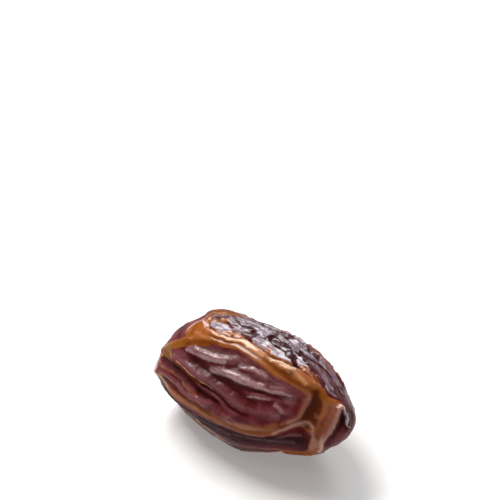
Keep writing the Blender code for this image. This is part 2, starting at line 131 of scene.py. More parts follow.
# A broad swelling (or hollow, where the height is negative)
Swell = namedtuple("Swell", "along round half_length half_width height")
SWELLS = (
    # The slanted stem end and its shoulder
    Swell(-21.0, -10, 4.5, 9.0, -1.2),
    Swell(-13.5, -38, 3.6, 4.2, 0.9),
    Swell(-7.5, -45, 2.6, 3.0, -0.5),
    Swell(-19.0, 106, 2.6, 3.2, 0.6),
    Swell(-22.0, 50, 3.0, 5.0, -0.5),
    Swell(-17.0, 138, 5.0, 5.0, -0.4),
    Swell(1.0, 126, 5.0, 3.0, 0.35),
    Swell(10.0, 138, 5.0, 4.0, -0.5),
    # The lifted underside of the tip
    Swell(15.0, 130, 8.0, 8.0, -0.9),
    Swell(17.0, 108, 4.0, 4.0, 0.8),
    Swell(21.8, 75, 2.8, 4.5, 0.9),
    Swell(22.6, -65, 3.0, 3.5, 0.6),
    Swell(16.5, -58, 4.5, 5.0, -0.5),
    # The sunken faces between the big folds
    Swell(2.0, 47, 12.0, 5.4, -0.8),
    Swell(-6.0, 69, 7.0, 2.2, -0.35),
    Swell(1.0, 104, 11.0, 2.8, -0.6),
    Swell(15.6, 86, 2.8, 2.6, -0.7),
    Swell(18.4, 38, 1.7, 4.6, -0.75),
    Swell(6.0, -22, 12.0, 5.0, -0.45),
    Swell(-16.6, -12, 2.4, 3.0, -1.0),
    Swell(-21.5, 62, 2.0, 3.0, 0.25),
    Swell(-20.6, 100, 2.0, 2.5, 0.35),
    Swell(0.0, -70, 13.0, 3.2, -0.6),
    Swell(2.0, -120, 13.0, 3.6, -0.5),
    Swell(-9.0, 118, 5.0, 3.0, -0.35),
)

# A fold of skin: height, half width, lean (positive is steeper on its lower-angle side), and its route
Fold = namedtuple("Fold", "height half_width lean route")
FOLDS = (
    # The fold inside the big one, which runs down round the sunken face as a hem
    Fold(0.16, 0.8, 0.0, ((-2.5, 17.5), (-0.9, 16), (1.7, 17), (4.4, 19), (7.5, 20), (10.6, 21.5),
         (13.7, 20), (15.6, 18.5))),
    Fold(0.42, 0.6, 0.0, LIP),
    # The thick smooth roll, and the thin edge of skin beside it
    Fold(0.75, 0.5, -0.3, ((-15.5, 55.5), (-13.7, 55.5), (-10.7, 56.6), (-7.4, 58.8), (-4.7, 60.2),
         (-2.8, 60.8))),
    Fold(0.4, 0.5, 0.0, ((-7.5, 64.5), (-5, 65.3), (-2.5, 66.6), (-0.6, 68.2), (1.5, 71.3), (4, 73.6),
         (6.5, 74))),
    # The long hem low on the front, which climbs round the tip end of the sunken face
    Fold(1.0, 1.15, -0.45, ((-16.8, 90), (-15, 93.5), (-12.5, 95.5), (-10, 96), (-7, 96), (-4, 94.8),
         (-1, 92.3), (2, 90), (5.7, 89.4), (8.8, 88.5), (10.6, 86), (12.2, 82.5), (13.5, 78.5),
         (14.5, 74), (15.5, 67), (16.8, 60), (18.2, 56.5))),
    Fold(0.55, 0.9, -0.1, ((1.6, 80.5), (3.6, 82), (5.4, 82.4), (7.7, 82.4), (10, 79.5), (12.2, 74.5),
         (13.8, 68.5))),
    Fold(0.8, 0.9, 0.15, ((-21.4, 112), (-20.1, 101), (-18.3, 88.5), (-16, 80.5), (-14.3, 76.2),
         (-12, 75), (-10.5, 76.5), (-9, 78.8), (-6.5, 79.6), (-3, 77.3), (0, 73.5))),
    Fold(0.65, 0.7, 0.0, ((-19.8, 79), (-18.4, 77), (-16.8, 74.5), (-14.5, 70.5), (-12.7, 68.7),
         (-11.2, 68.5), (-9, 70), (-7.3, 72.5), (-4.6, 75))),
    # Folds that gather towards the stem end
    Fold(0.55, 1.1, 0.1, ((-21.2, 66), (-19.9, 58), (-18.2, 51), (-16.4, 43.5), (-14.6, 35), (-13, 29),
         (-11.6, 23))),
    Fold(0.4, 0.9, 0.2, ((-13, 1), (-13.8, 8), (-14.3, 15), (-14.4, 22), (-14.2, 29))),
    Fold(0.55, 0.8, 0.0, ((-13, 1), (-12.6, -8), (-13.4, -18), (-15.2, -26), (-17.4, -30))),
    Fold(0.25, 0.9, 0.0, ((-20.8, 22), (-18.6, 2), (-16.6, -12), (-14.6, -22), (-12, -30))),
    Fold(0.6, 0.8, 0.0, ((-21.4, -95), (-19.2, -78), (-16.5, -66), (-13, -60))),
    Fold(0.6, 0.8, 0.0, ((-21.4, -150), (-19.4, -128), (-17, -120), (-14, -118))),
    Fold(0.55, 0.8, 0.0, ((-21.6, 170), (-19.6, 158), (-17, 150), (-13.5, 147))),
    Fold(0.55, 0.75, 0.0, ((-21.4, 128), (-19.5, 122), (-16.5, 114), (-13, 109), (-9, 107.5),
         (-6, 109))),
    # Folds round the tip
    Fold(0.8, 0.7, -0.2, ((20.6, -12), (20.9, 2), (21.1, 15), (21.3, 37), (21.2, 56), (20.9, 74),
         (20.6, 90), (20.4, 104), (20.0, 120), (19.4, 138))),
    Fold(0.7, 0.8, 0.0, ((18.1, 57), (18.9, 63), (19.3, 70), (19.8, 81), (19.9, 92), (19.7, 104),
         (19.2, 116), (18.6, 130), (17.2, 148))),
    Fold(0.8, 1.15, 0.0, ((12.5, 128), (15.2, 131), (17.6, 134), (19.4, 141), (20.2, 156))),
    Fold(0.35, 0.45, 0.0, ((19.2, 45.5), (19.25, 48))),
    Fold(0.6, 0.8, 0.0, ((21.3, -100), (19.6, -98), (17, -93), (14, -91))),
    Fold(0.6, 0.8, 0.0, ((21.2, -150), (19.4, -140), (16.8, -136), (14, -134))),
    # Low ridges on the shaded front, under the long hem
    Fold(0.55, 0.75, -0.2, ((-7, 113), (-5, 112.5), (-2.5, 111), (0, 108.5), (2.2, 107.5), (5.8, 108),
         (8.4, 109.5))),
    Fold(0.5, 0.7, 0.0, ((0, 120), (3, 119), (6, 117.5), (9, 116.5), (12.3, 118.5))),
    Fold(0.45, 0.8, 0.0, ((10.4, 98), (12.5, 95), (14.5, 96), (16.6, 97.5), (18.6, 96))),
    Fold(0.35, 0.6, 0.0, ((13.6, 86), (15.4, 83), (17.2, 80))),
    # Crumpled skin behind the big fold
    Fold(0.3, 0.35, 0.0, ((7.2, 0), (8.3, -2), (10.1, -6), (11.9, -10))),
    Fold(0.3, 0.4, 0.0, ((11.4, -3), (12.9, -1), (14.4, 2), (16, 4))),
    Fold(0.3, 0.4, 0.0, ((12.2, -9), (13.6, -7.5), (15, -4.5), (16.6, 0))),
    Fold(0.3, 0.4, 0.0, ((13.5, -13), (15, -10.5), (16.3, -7), (17.8, -2))),
    Fold(0.5, 0.6, 0.3, ((3, -46), (5, -48), (7.2, -49), (10.1, -49.5), (12.4, -48), (14.6, -46),
         (17, -46))),
    Fold(0.4, 0.7, 0.0, ((-9, -40), (-6, -42), (-2.6, -43), (0.6, -44), (3, -46))),
    # The hidden back and underside
    Fold(0.85, 0.9, 0.2, UPPER_BACK),
    Fold(0.95, 1.05, 0.0, MIDDLE_BACK),
    Fold(0.6, 0.75, 0.0, ((-7, -86), (-4.2, -92), (-0.8, -97), (3.2, -99.5), (7.4, -98))),
    Fold(0.55, 0.7, 0.0, ((-10, -70), (-6.5, -71.5), (-2.5, -69.5), (1.5, -66.5), (5.5, -67), (9, -70))),
    Fold(0.85, 0.95, 0.0, LOWER_BACK),
    Fold(0.55, 0.7, 0.0, ((-12, -117), (-8, -119), (-4, -121.5), (0.5, -122.5), (5, -125))),
    Fold(0.75, 0.9, 0.0, BACK_UNDERSIDE),
    Fold(0.5, 0.8, 0.0, ((-17, -158), (-12.5, -154), (-8, -152.5), (-4, -155))),
    Fold(0.5, 0.8, 0.0, ((7, -158), (11, -155), (15, -157), (18.8, -165))),
    Fold(0.65, 0.85, 0.0, FRONT_UNDERSIDE),
    Fold(0.5, 0.8, 0.0, ((-16, 158), (-12, 152), (-8, 151), (-4, 154))),
)

# The same with a rounded crest
SOFT_FOLDS = (
    # The big fold along the top, from the stem shoulder to the tip
    Fold(1.05, 1.05, 0.5, ((-12.9, 1), *BIG_FOLD_MIDDLE, (18.5, 4), (19.6, 1))),
    # Rounded wrinkles across the sunken face
    Fold(0.5, 0.95, -0.45, ((-12.4, 40), (-10.5, 38.8), (-8.4, 38.2), (-6.3, 36.6), (-4.3, 35.2),
         (-2.6, 32.5), (-1, 30.6), (0.6, 28))),
    Fold(0.3, 0.7, -0.3, ((1.4, 28.5), (3.2, 27.5), (5, 28), (7, 28), (9, 27), (11, 26))),
    Fold(0.5, 0.8, -0.5, ((-5, 43.5), (-3.2, 43), (-1.5, 42.5), (0.6, 42), (3, 42.3), (5, 41.6),
         (6.6, 40.3), (8.3, 39), (9.8, 37.2), (11.4, 35), (13.5, 31.5))),
    Fold(0.25, 0.5, -0.2, ((-1.5, 38), (0.4, 36.8), (2.4, 37.5), (4.4, 37), (6.4, 35))),
    Fold(0.3, 0.5, -0.3, ((5.2, 50.5), (6.4, 50), (7.6, 48), (9.3, 45.6), (11, 44.5))),
    Fold(0.3, 0.6, -0.3, ((10.6, 49), (12.2, 51), (13.4, 54), (13.6, 58))),
    Fold(0.25, 0.6, 0.0, ((8, 62), (10, 60.5), (12, 60.5), (13.5, 62.5))),
    # The thick smooth roll below them
    Fold(0.65, 0.85, 0.0, ((-16, 44.5), (-14.3, 47), (-12.2, 48.5), (-10.4, 51), (-8.6, 53), (-6.6, 54),
         (-3.4, 55), (-1, 56), (0.8, 57.7), (2.2, 61.2), (3.8, 64.5), (5.3, 67), (7, 68.2))),
    # Low swellings in the shaded strip between the roll and the long hem
    Fold(0.4, 0.8, 0.0, ((-10.5, 74), (-9.2, 76.5), (-7.6, 77.3), (-5.8, 78.8), (-4, 79.5), (-2.3, 79),
         (-0.8, 77))),
    Fold(0.35, 0.8, 0.0, ((-2, 80), (0, 80.5), (2.2, 80), (4, 78.5), (6, 78), (8, 77), (10, 75))),
)

# A sharp crease pressed into the skin: depth, half width, and its route
Crease = namedtuple("Crease", "depth half_width route")
CREASES = (
    # Under the thin edge of skin, then along the thick roll
    Crease(0.32, 0.4, ((-14, 58), (-10.7, 59.2), (-7.4, 61.2), (-4, 62.8), (-1.5, 64.8), (1.1, 67.6),
         (3.8, 70), (6.5, 70.8), (8.4, 69.5))),
    # In the shaded strip beside the roll
    Crease(0.45, 0.5, ((-6.6, 68.5), (-5.4, 71.2), (-3, 72.2), (-1, 72.4), (0.8, 73.5))),
    Crease(0.35, 0.45, ((-18.6, 62), (-16, 61.5), (-13.2, 62), (-10.6, 64))),
    # Under the big fold, and behind it
    Crease(0.2, 0.55, ((-10.5, 19), (-8.8, 17.6), (-6.3, 17.2), (-4, 15.4), (-1.8, 12.6), (0.7, 12.8),
         (3.4, 13.6), (5.8, 14), (8.5, 15.5), (11.3, 18.2), (13.4, 17.6), (15.4, 15.5))),
    Crease(0.45, 0.45, ((-10.5, 6), (-9, 8.5), (-7, 8.8), (-5.2, 7.4), (-3.3, 4.6), (-1.4, 2),
         (0.5, 2.6), (2.5, 3.8), (4, 5.2), (5.6, 6), (7.2, 3.4), (9.4, 0.8), (11, -1.4))),
    # Just inside the top edge of the sunken face
    Crease(0.16, 0.6, ((-10.3, 29), (-8.5, 26), (-6.5, 25), (-4.2, 23.5), (-0.9, 20.5), (1.7, 21.5),
         (4.4, 23.5), (7.5, 24.5), (10.6, 26.5), (13, 26))),
    # Round the cap of the tip, and beside the lower hem
    Crease(0.3, 0.5, ((22, 5), (22.15, 30), (22, 55), (21.7, 80))),
    Crease(0.25, 0.6, ((-13, 84), (-9.5, 86), (-6, 87.2), (-2, 86), (2, 85.8), (5.5, 86), (9, 84.5),
         (12, 79.5), (14.6, 72))),
)

# The same with a rounded bottom
VALLEYS = (
    # Puckers that run in to the stalk scar, and to the tip
    Crease(0.34, 0.5, ((-17, -66), (-19, -63), (-20.8, -66), (-22.2, -62))),
    Crease(0.4, 0.55, ((-16.4, -92), (-18.4, -95), (-20.2, -92), (-21.8, -96), (-22.5, -90))),
    Crease(0.32, 0.45, ((-18, -122), (-19.6, -118), (-21.2, -122), (-22.4, -118))),
    Crease(0.38, 0.55, ((-16.8, -152), (-18.8, -148), (-20.6, -152), (-22.2, -147))),
    Crease(0.34, 0.5, ((-17.6, 172), (-19.4, 176), (-21, 171), (-22.4, 175))),
    Crease(0.38, 0.5, ((-16.6, 140), (-18.6, 144), (-20.4, 140), (-22.2, 146))),
    Crease(0.3, 0.5, ((-18, 112), (-19.8, 115), (-21.4, 110), (-22.4, 114))),
    Crease(0.3, 0.5, ((-18.4, -36), (-20, -33), (-21.4, -37), (-22.4, -32))),
    Crease(0.24, 0.45, ((-19, -8), (-20.4, -4), (-21.8, -8))),
    Crease(0.3, 0.55, ((16, -74), (18, -78), (20, -75), (21.6, -80))),
    Crease(0.3, 0.5, ((15.6, -150), (17.6, -147), (19.6, -152), (21.4, -148))),
    Crease(0.28, 0.5, ((16, 158), (18, 162), (20, 157), (21.4, 160))),
    # The deep valley above the roll
    Crease(0.5, 0.8, ((-11.7, 43), (-10.4, 45), (-9, 46.5), (-7.3, 48), (-4.6, 49.6), (-2.2, 50.7),
         (0.2, 52), (2.6, 53), (4.8, 54.5), (7, 55.5), (9, 55))),
    # Under each rounded wrinkle of the sunken face
    Crease(0.35, 0.5, ((-9.8, 42), (-7.6, 40.6), (-6, 39), (-4, 36.8), (-2.3, 33.8), (-0.7, 31.8),
         (0.4, 30.3), (1.2, 27.5), (2.5, 25), (4, 23.4))),
    Crease(0.25, 0.5, ((-4, 38.8), (-2, 38), (0, 35.5), (1.7, 33.2), (3.5, 32), (6, 31), (8.5, 30),
         (10.6, 28.8))),
    Crease(0.35, 0.45, ((-2, 46.2), (0, 46.5), (2, 46.8), (4, 45.8), (5.6, 44.4), (8, 41.6), (9.8, 40),
         (11.7, 38), (13, 35.6), (14.6, 32.6))),
    Crease(0.25, 0.5, ((-10.8, 33), (-8.5, 31.5), (-6, 29.5), (-3.5, 27), (-1, 25))),
    Crease(0.2, 0.5, ((9, 50.5), (10.8, 47.8), (12.8, 47), (14.4, 48))),
)

# Where the wrinkles between the folds are strong: a patch's place, size and wrinkle height
Patch = namedtuple("Patch", "along round half_length half_width height")
PATCHES = (
    Patch(4.0, -22, 12.0, 5.0, 0.36),
    Patch(-8.0, -20, 5.0, 4.0, 0.2),
    Patch(0.0, -75, 15.0, 6.0, 0.40),
    Patch(2.0, -118, 15.0, 6.0, 0.38),
    Patch(-2.0, 45, 11.0, 4.5, 0.14),
    Patch(0.0, 112, 13.0, 3.5, 0.20),
    Patch(-4.0, 140, 14.0, 4.0, 0.30),
    Patch(-19.5, -75, 4.0, 6.0, 0.30),
    Patch(-19.5, 150, 4.0, 7.0, 0.28),
    Patch(20.0, -100, 3.5, 6.0, 0.28),
    Patch(20.0, 160, 3.5, 6.0, 0.25),
    Patch(18.0, -35, 4.0, 5.0, 0.12),
)

# Wrinkles of three sizes: spacing, stretch along the fruit, how they wander, sharpness, and share of a
# patch's height, negative where they are sunken
Wrinkle = namedtuple("Wrinkle", "spacing stretch wander sharpness share")
WRINKLES = (
    Wrinkle(3.1 * MM, 2.6, 0.55, 2.6, 1.0),
    Wrinkle(1.5 * MM, 2.2, 0.9, 3.4, -0.5),
    Wrinkle(0.75 * MM, 1.6, 0.9, 3.0, -0.13),
)
WANDERING_SCALE = 0.7

# A plate of crumpled skin, with a groove towards neighbours of another tone: its middle, how far it stands
# out, its tilt (positive is higher on its higher-angle side), and how much painted lilac reflection and
# painted glint it carries
Plate = namedtuple("Plate", "along round rise tilt lilac")
PLATES = (
    # Behind the big fold
    Plate(-8.7, 1.0, 0.1, 0.3, 0.8),
    Plate(-8.6, -17, 0.05, 0.0, 0.15),
    Plate(-6.1, -19, 0.2, 0.1, 0.55),
    Plate(-3.8, -24, 0.15, 0.0, 0.6),
    Plate(-3.6, -11, -0.05, -0.15, 0.05),
    Plate(-0.4, -5.5, 0.15, 0.25, 0.65),
    Plate(-0.6, -23, 0.22, 0.1, 0.58),
    Plate(2.4, -28, 0.15, -0.05, 0.5),
    Plate(2.3, -16, -0.15, -0.2, 0.0),
    Plate(3.1, -4, 0.1, 0.3, 0.85),
    Plate(6.0, -4, 0.3, 0.35, 1.0),
    Plate(6.6, -14, -0.15, -0.25, 0.0),
    Plate(-2.3, -37, 0.0, -0.2, 0.05),
    Plate(-6.5, -35, 0.05, -0.1, 0.35),
    Plate(1.4, -40, 0.05, -0.2, 0.1),
    Plate(4.5, -34, 0.2, -0.1, 0.9),
    Plate(5.8, -45, 0.2, -0.25, 0.8),
    Plate(6.9, -25, 0.1, 0.05, 0.55),
    Plate(9.8, -12, 0.25, 0.15, 0.75),
    Plate(9.0, -20, -0.1, -0.15, 0.02),
    Plate(8.9, -33, 0.2, -0.05, 0.6),
    Plate(8.8, -43, 0.1, -0.2, 0.35),
    Plate(11.4, -24, 0.05, 0.0, 0.3),
    Plate(11.8, -38, 0.2, -0.15, 0.7),
    Plate(12.6, -14, -0.05, -0.1, 0.05),
    Plate(14.5, -28, 0.0, 0.05, 0.2),
    Plate(14.6, -39, 0.15, -0.15, 0.5),
    Plate(17.0, -33, 0.1, -0.1, 0.4),
    Plate(16.6, -16, 0.15, 0.1, 0.6),
    Plate(18.4, -9, 0.2, 0.2, 0.7),
    Plate(19.3, -27, -0.05, 0.0, 0.02),
    Plate(20.4, -14, 0.05, 0.1, 0.14),
    # On the hidden back
    Plate(-12.5, -70, 0.1, 0.1, 0.2),
    Plate(-9.0, -66, 0.15, 0.0, 0.33),
    Plate(-5.0, -64, 0.1, -0.15, 0.13),
    Plate(-1.5, -62, 0.2, 0.1, 0.36),
    Plate(2.0, -61, 0.0, -0.1, 0.07),
    Plate(5.6, -62, 0.2, 0.15, 0.39),
    Plate(9.5, -64, 0.1, -0.1, 0.2),
    Plate(13.0, -66, 0.2, 0.05, 0.33),
    Plate(16.4, -72, 0.1, 0.0, 0.16),
    Plate(-13.5, -78, 0.15, -0.1, 0.26),
    Plate(-7.6, -78, 0.1, 0.1, 0.1),
    Plate(-2.8, -76, 0.15, -0.1, 0.29),
    Plate(3.8, -72, 0.2, 0.1, 0.26),
    Plate(10.0, -75, 0.1, -0.1, 0.23),
    Plate(14.0, -79, 0.15, 0.1, 0.2),
)

# How the plates lie: their stretch along the fruit and slant across it, where they fade out, how they stray,
# how steep a tilt of 1 is, and how softly one runs into the next
PLATE_STRETCH = 3.0
PLATE_SLANT = 0.5
PLATE_FADE = (1.5, 2.0)
PLATE_STRAYS = ((0.9 * MM, 2.4 * MM), (0.35 * MM, 0.8 * MM))
PLATE_STEEPNESS = 0.7
PLATE_BLEND = 0.35
MM_PER_DEGREE = 0.206

# The grooves between them, darkened in the colour as painted shade: depth, width, the least share of it, and
# the gap in painted reflection tone that brings it out
GROOVE_DEPTH = 0.14
GROOVE_WIDTH = 0.16
LEAST_GROOVE = 0.15
TONE_GAP = (0.15, 0.6)

# Skin of another colour along a route: strength, half width, soft edge, and the route
Band = namedtuple("Band", "strength half_width edge route")

# Where the big fold keeps the crumpled plates away
SMOOTH_ROUTE = ((-13, -6), (-12.6, 1), *BIG_FOLD_MIDDLE, (18.5, 3), (19.8, -2), (20.9, -20))
SMOOTH_BAND = Band(1.0, 0.9, 0.5, SMOOTH_ROUTE)

# Thin skin that has lifted off the flesh shows amber
AMBER_BANDS = (
    # Between the big fold and the sunken face
    Band(1.0, 1.3, 0.35, ((-12.7, 12), (-11.6, 18), (-10, 19.5), (-8.4, 18.4))),
    Band(1.0, 1.3, 0.3, ((-9.5, 18), (-7.9, 17.5), (-5.5, 16), (-3.3, 14.2), (-1.2, 11.2), (1, 11.8),
         (3, 13), (5.3, 14), (7.5, 13.6))),
    Band(1.0, 1.6, 0.35, ((7.5, 14), (10, 13.4), (12.5, 12), (15, 11.5), (16.6, 11.5))),
    Band(1.0, 0.9, 0.4, ((-12.9, 3), (-14, 9), (-14.2, 18), (-13.2, 24))),
    Band(1.0, 1.0, 0.45, ((-20.2, 52), (-18, 49), (-16, 42), (-14, 36), (-12.6, 29), (-11.4, 22.5))),
    Band(0.8, 0.5, 0.4, ((-16.2, 58), (-17.6, 60), (-18.9, 64), (-19.8, 72), (-19.6, 80))),
    Band(0.9, 0.6, 0.4, ((-12.3, 33), (-11, 30.5), (-9.5, 27.5), (-8, 25))),
    Band(0.8, 1.0, 0.9, ((-20.6, 62), (-20.2, 76), (-19.4, 88), (-18.8, 98))),
    # The thin edges beside the roll
    Band(0.95, 0.22, 0.25, ((-12.5, 55.6), (-10.7, 57), (-7.4, 59.3), (-4.7, 60.9), (-2.6, 62))),
    Band(0.8, 0.35, 0.4, ((-17.5, 60), (-14.5, 59.5), (-11.5, 60), (-8.5, 61.8), (-5.6, 63.6))),
    Band(0.3, 0.3, 0.4, ((-2.6, 64), (-0.6, 68.2), (1.5, 71.3), (3.5, 73.2))),
    Band(0.5, 0.3, 0.3, ((-20, 74), (-18.4, 73.5), (-16.8, 73), (-15, 71.5), (-13.4, 69))),
    Band(0.7, 0.25, 0.4, ((-13.4, 68), (-12, 68.5), (-10.5, 70), (-9, 72.4), (-7.3, 74.5), (-5, 76.5))),
    Band(0.5, 0.4, 0.5, ((-16.4, 82), (-14.6, 79), (-12.6, 78), (-11, 79.5))),
    Band(0.4, 0.6, 0.6, ((-8, 83), (-5.5, 82.5), (-3, 83))),
    Band(1.0, 1.1, 0.5, ((-18.4, 53), (-17, 54), (-15.8, 55))),
    # The long hem low on the front
    Band(0.6, 1.0, 0.8, ((5, 83.5), (8.5, 82), (11, 78.5), (12.8, 73))),
    Band(0.75, 0.7, 0.7, ((-17, 89), (-14.5, 91), (-11, 91), (-7, 90), (-3, 89), (1, 87), (5, 86),
         (8.5, 85), (11, 82), (13, 77), (14.6, 70), (16, 63))),
    Band(0.45, 0.7, 0.7, ((-15, 88), (-10, 87.5), (-5, 87), (-1, 85), (3, 84), (7, 83.5), (10, 80),
         (12.5, 74.5))),
    # Round the tip
    Band(1.0, 0.8, 0.4, ((14.3, 71), (15.6, 64.5), (17, 59.5), (18.4, 57.5), (19.2, 64), (19.7, 72),
         (20, 82))),
    Band(1.0, 0.75, 0.4, ((19.8, 60), (20.2, 70), (20.3, 81), (20.2, 95), (20, 108))),
    Band(1.0, 1.0, 0.5, ((19.9, 90), (19.7, 102), (19.2, 114), (18.4, 126))),
    Band(1.0, 1.3, 0.6, ((13.5, 128), (15.5, 127), (18, 127), (19.6, 120))),
    Band(0.85, 0.45, 0.5, ((-7, 122), (-3, 122.5), (1, 122), (5, 120), (9, 118.5), (12.5, 121),
         (14, 126))),
    Band(1.0, 1.75, 0.4, ((17, 12), (18.1, 18), (18.6, 30), (18.5, 44), (18.2, 56))),
    Band(0.9, 0.35, 0.35, LIP),
    Band(1.0, 1.0, 0.4, ((16.6, 10), (18.2, 9.5), (19.5, 6), (20.3, 0))),
    Band(1.0, 0.45, 0.3, ((-12.4, 2), (-11.2, 6.5), (-9.6, 9.6), (-7.9, 10), (-5.5, 8), (-3.3, 5.4),
         (-1.4, 3), (0.5, 3.6), (2.7, 4.6), (4.4, 5.4))),
    Band(0.9, 0.35, 0.3, ((4.4, 5.4), (6, 5), (7.5, 3), (9.4, 1))),
    # The crumpled skin behind the big fold
    Band(0.95, 0.8, 0.4, ((11.6, -4), (13, -4), (14.6, -2.5), (15.8, 1), (16.8, 4))),
    Band(0.9, 0.35, 0.3, ((12.4, -8.5), (14, -7), (15.4, -4), (16.4, 0))),
    Band(0.95, 0.55, 0.35, ((-7, 8.5), (-5.6, 4), (-3.9, 2.6), (-2, 2))),
    Band(0.9, 0.35, 0.3, ((2.8, -3), (3.6, 1), (4.4, 4.5), (6, 6.5))),
    Band(0.9, 1.2, 1.2, ((-15.4, -5), (-14.1, -14), (-12.6, -21), (-11.2, -28), (-10, -34))),
    Band(0.9, 0.7, 0.5, ((-12.4, -2), (-11.2, -7), (-9.6, -11))),
    Band(0.85, 0.5, 0.4, ((-10, -48), (-5, -52), (0, -54), (4, -52), (7, -50), (10.1, -50), (12.4, -49),
         (14.6, -47))),
    # On the hidden back and underside, where the big folds carry it
    Band(0.62, 0.5, 1.1, UPPER_BACK),
    Band(0.75, 0.4, 0.8, MIDDLE_BACK),
    Band(0.7, 1.2, 1.2, ((-5, -88), (1, -86), (6, -88))),
    Band(0.58, 0.4, 0.9, LOWER_BACK),
    Band(0.62, 0.5, 1.0, BACK_UNDERSIDE),
    Band(0.7, 1.3, 1.3, ((9, -120), (13, -122), (17, -124))),
    Band(0.58, 0.5, 0.9, FRONT_UNDERSIDE),
    Band(0.5, 0.9, 1.4, ((-21.6, -90), (-20.6, -55), (-20.8, -20), (-21.4, 10))),
    Band(0.5, 0.6, 1.2, ((-20.8, 120), (-20.4, 150), (-20.6, 180), (-20.2, 215))),
    Band(0.6, 1.0, 1.2, ((21, -100), (20.4, -130), (20.6, -165))),
)

# The lightest, most stretched skin, pale peach, and partly a painted highlight along the big fold
PEACH_AND_HIGHLIGHT_BANDS = (
    Band(0.9, 0.45, 0.65, ((7.2, 9.4), (8.4, 9.6), (9.8, 9), (11.4, 9), (12.9, 10.4), (14, 11.5))),
    Band(0.9, 0.35, 0.3, ((-3.3, 11.6), (-1.6, 9), (0.3, 9.8), (2.4, 11), (4, 11.6))),
    Band(0.7, 0.3, 0.25, ((-12.5, 5), *BIG_FOLD_MIDDLE[1:6])),
    Band(0.6, 0.35, 0.75, ((-12.6, 18), (-11.2, 20.5), (-9.6, 21), (-8.2, 20.5))),
    Band(0.6, 0.3, 0.6, ((-14.4, 8), (-14.6, 14), (-14.2, 19))),
    Band(0.8, 0.2, 0.2, ((-12.5, 55.2), (-10.7, 56.4), (-7.4, 58.6), (-4.7, 60), (-3, 60.6))),
    Band(0.5, 0.2, 0.25, ((-20, 85), (-18.3, 86), (-16, 80), (-14.3, 76.5))),
    Band(0.6, 0.45, 0.4, ((-21, 74), (-20.6, 82), (-20, 90))),
    Band(0.6, 0.2, 0.25, ((9, -47), (10.8, -46.5), (12.4, -45.5), (14.2, -43.5))),
    Band(0.5, 0.25, 0.25, ((-13, -16), (-12, -21), (-11.4, -25))),
    Band(0.6, 0.4, 0.4, ((-6.4, 3.5), (-4.4, 1.5), (-2.4, 1))),
)

# Deep orange in the grooves beside the folds, a painted shade
DEEP_ORANGE_AND_SHADE_BANDS = (
    Band(0.95, 0.6, 0.45, ((-12.6, 34), (-11.6, 30.5), (-10, 27.5), (-8, 24), (-6.4, 22.5))),
    Band(0.5, 0.5, 0.5, ((-13.2, 22), (-12.6, 27), (-13.4, 33))),
    Band(0.5, 0.35, 0.3, ((-13.2, 5), (-13.5, 11), (-13.2, 17))),
    Band(0.9, 0.3, 0.3, ((-8.8, 17), (-6.3, 17), (-4, 15.2), (-1.8, 12.6), (0.7, 12.8), (3.4, 13.6),
         (5.8, 14.2), (7.6, 15))),
    Band(0.95, 0.5, 0.35, ((7.6, 15), (9.4, 16.2), (11.3, 18), (13.4, 17), (15.2, 15), (16.4, 13.5))),
    Band(0.8, 0.3, 0.3, ((-15.6, 58.6), (-12.5, 59.6), (-9.5, 60.8), (-6.5, 62.4), (-4, 63.5))),
    Band(0.8, 0.4, 0.4, ((-18.5, 56), (-16.5, 57), (-15, 56))),
    Band(0.5, 0.5, 0.5, ((-4, 88.5), (0, 86.6), (4, 86), (8, 85), (10.5, 82), (12.8, 76.5), (14.6, 68))),
    Band(0.8, 0.25, 0.25, ((-2, 2.4), (0.6, 3), (2.6, 4), (4.4, 5.6))),
    Band(0.9, 0.9, 0.5, ((-10, -49), (-5, -52), (0, -54), (4, -53), (7, -52), (10.1, -51.5),
         (12.4, -50.5), (14.6, -49), (18, -52))),
    Band(0.8, 0.35, 0.3, ((11.6, -6), (13.4, -5), (15, -2), (16.4, 2))),
    Band(1.0, 1.9, 0.8, ((-17, -20), (-14, -27), (-11, -35), (-8, -42))),
    Band(0.8, 0.5, 0.5, ((-19.6, 44), (-17.6, 42), (-15.8, 36), (-14.6, 30))),
    Band(0.75, 1.0, 0.6, ((12, 124), (14.5, 126), (17, 126), (19.3, 119), (20.2, 108))),
    Band(0.8, 0.7, 0.7, ((-21.7, 60), (-21.3, 75), (-20.6, 92))),
)

# Smooth rosy-brown skin at the tip
ROSE_BANDS = (
    Band(0.6, 0.8, 0.8, ((19.6, 16), (20.1, 26), (20.3, 38), (20.2, 50), (20.0, 60), (19.8, 70))),
    Band(0.9, 0.7, 0.5, ((20.2, 10), (20.7, 25), (20.8, 42), (20.7, 58), (20.5, 74), (20.2, 90))),
    Band(0.7, 0.35, 0.3, ((18.7, 40), (19.1, 43))),
    # The lip between the sunken face and the pool
    Band(0.85, 0.45, 0.4, ((15, 19), (16.2, 24), *LIP[2:])),
    # Along the crest of the long hem, and on round the tip
    Band(0.7, 0.3, 0.3, ((-18, 94), (-15, 96), (-12.5, 97.5), (-10, 98), (-7, 98), (-4, 96.8),
         (-1, 94.3), (2, 92), (5.7, 91.2), (8.8, 90.4), (10.6, 88), (12.2, 84.5), (13.5, 80.5),
         (14.5, 76))),
    Band(0.85, 0.55, 0.4, ((12.5, 82), (13.7, 78), (14.6, 74), (15.6, 67), (16.9, 60.5), (18.2, 57.5),
         (19, 63), (19.4, 71), (19.8, 82))),
    Band(0.7, 0.4, 0.4, ((19.9, 82), (19.9, 92), (19.6, 104))),
)
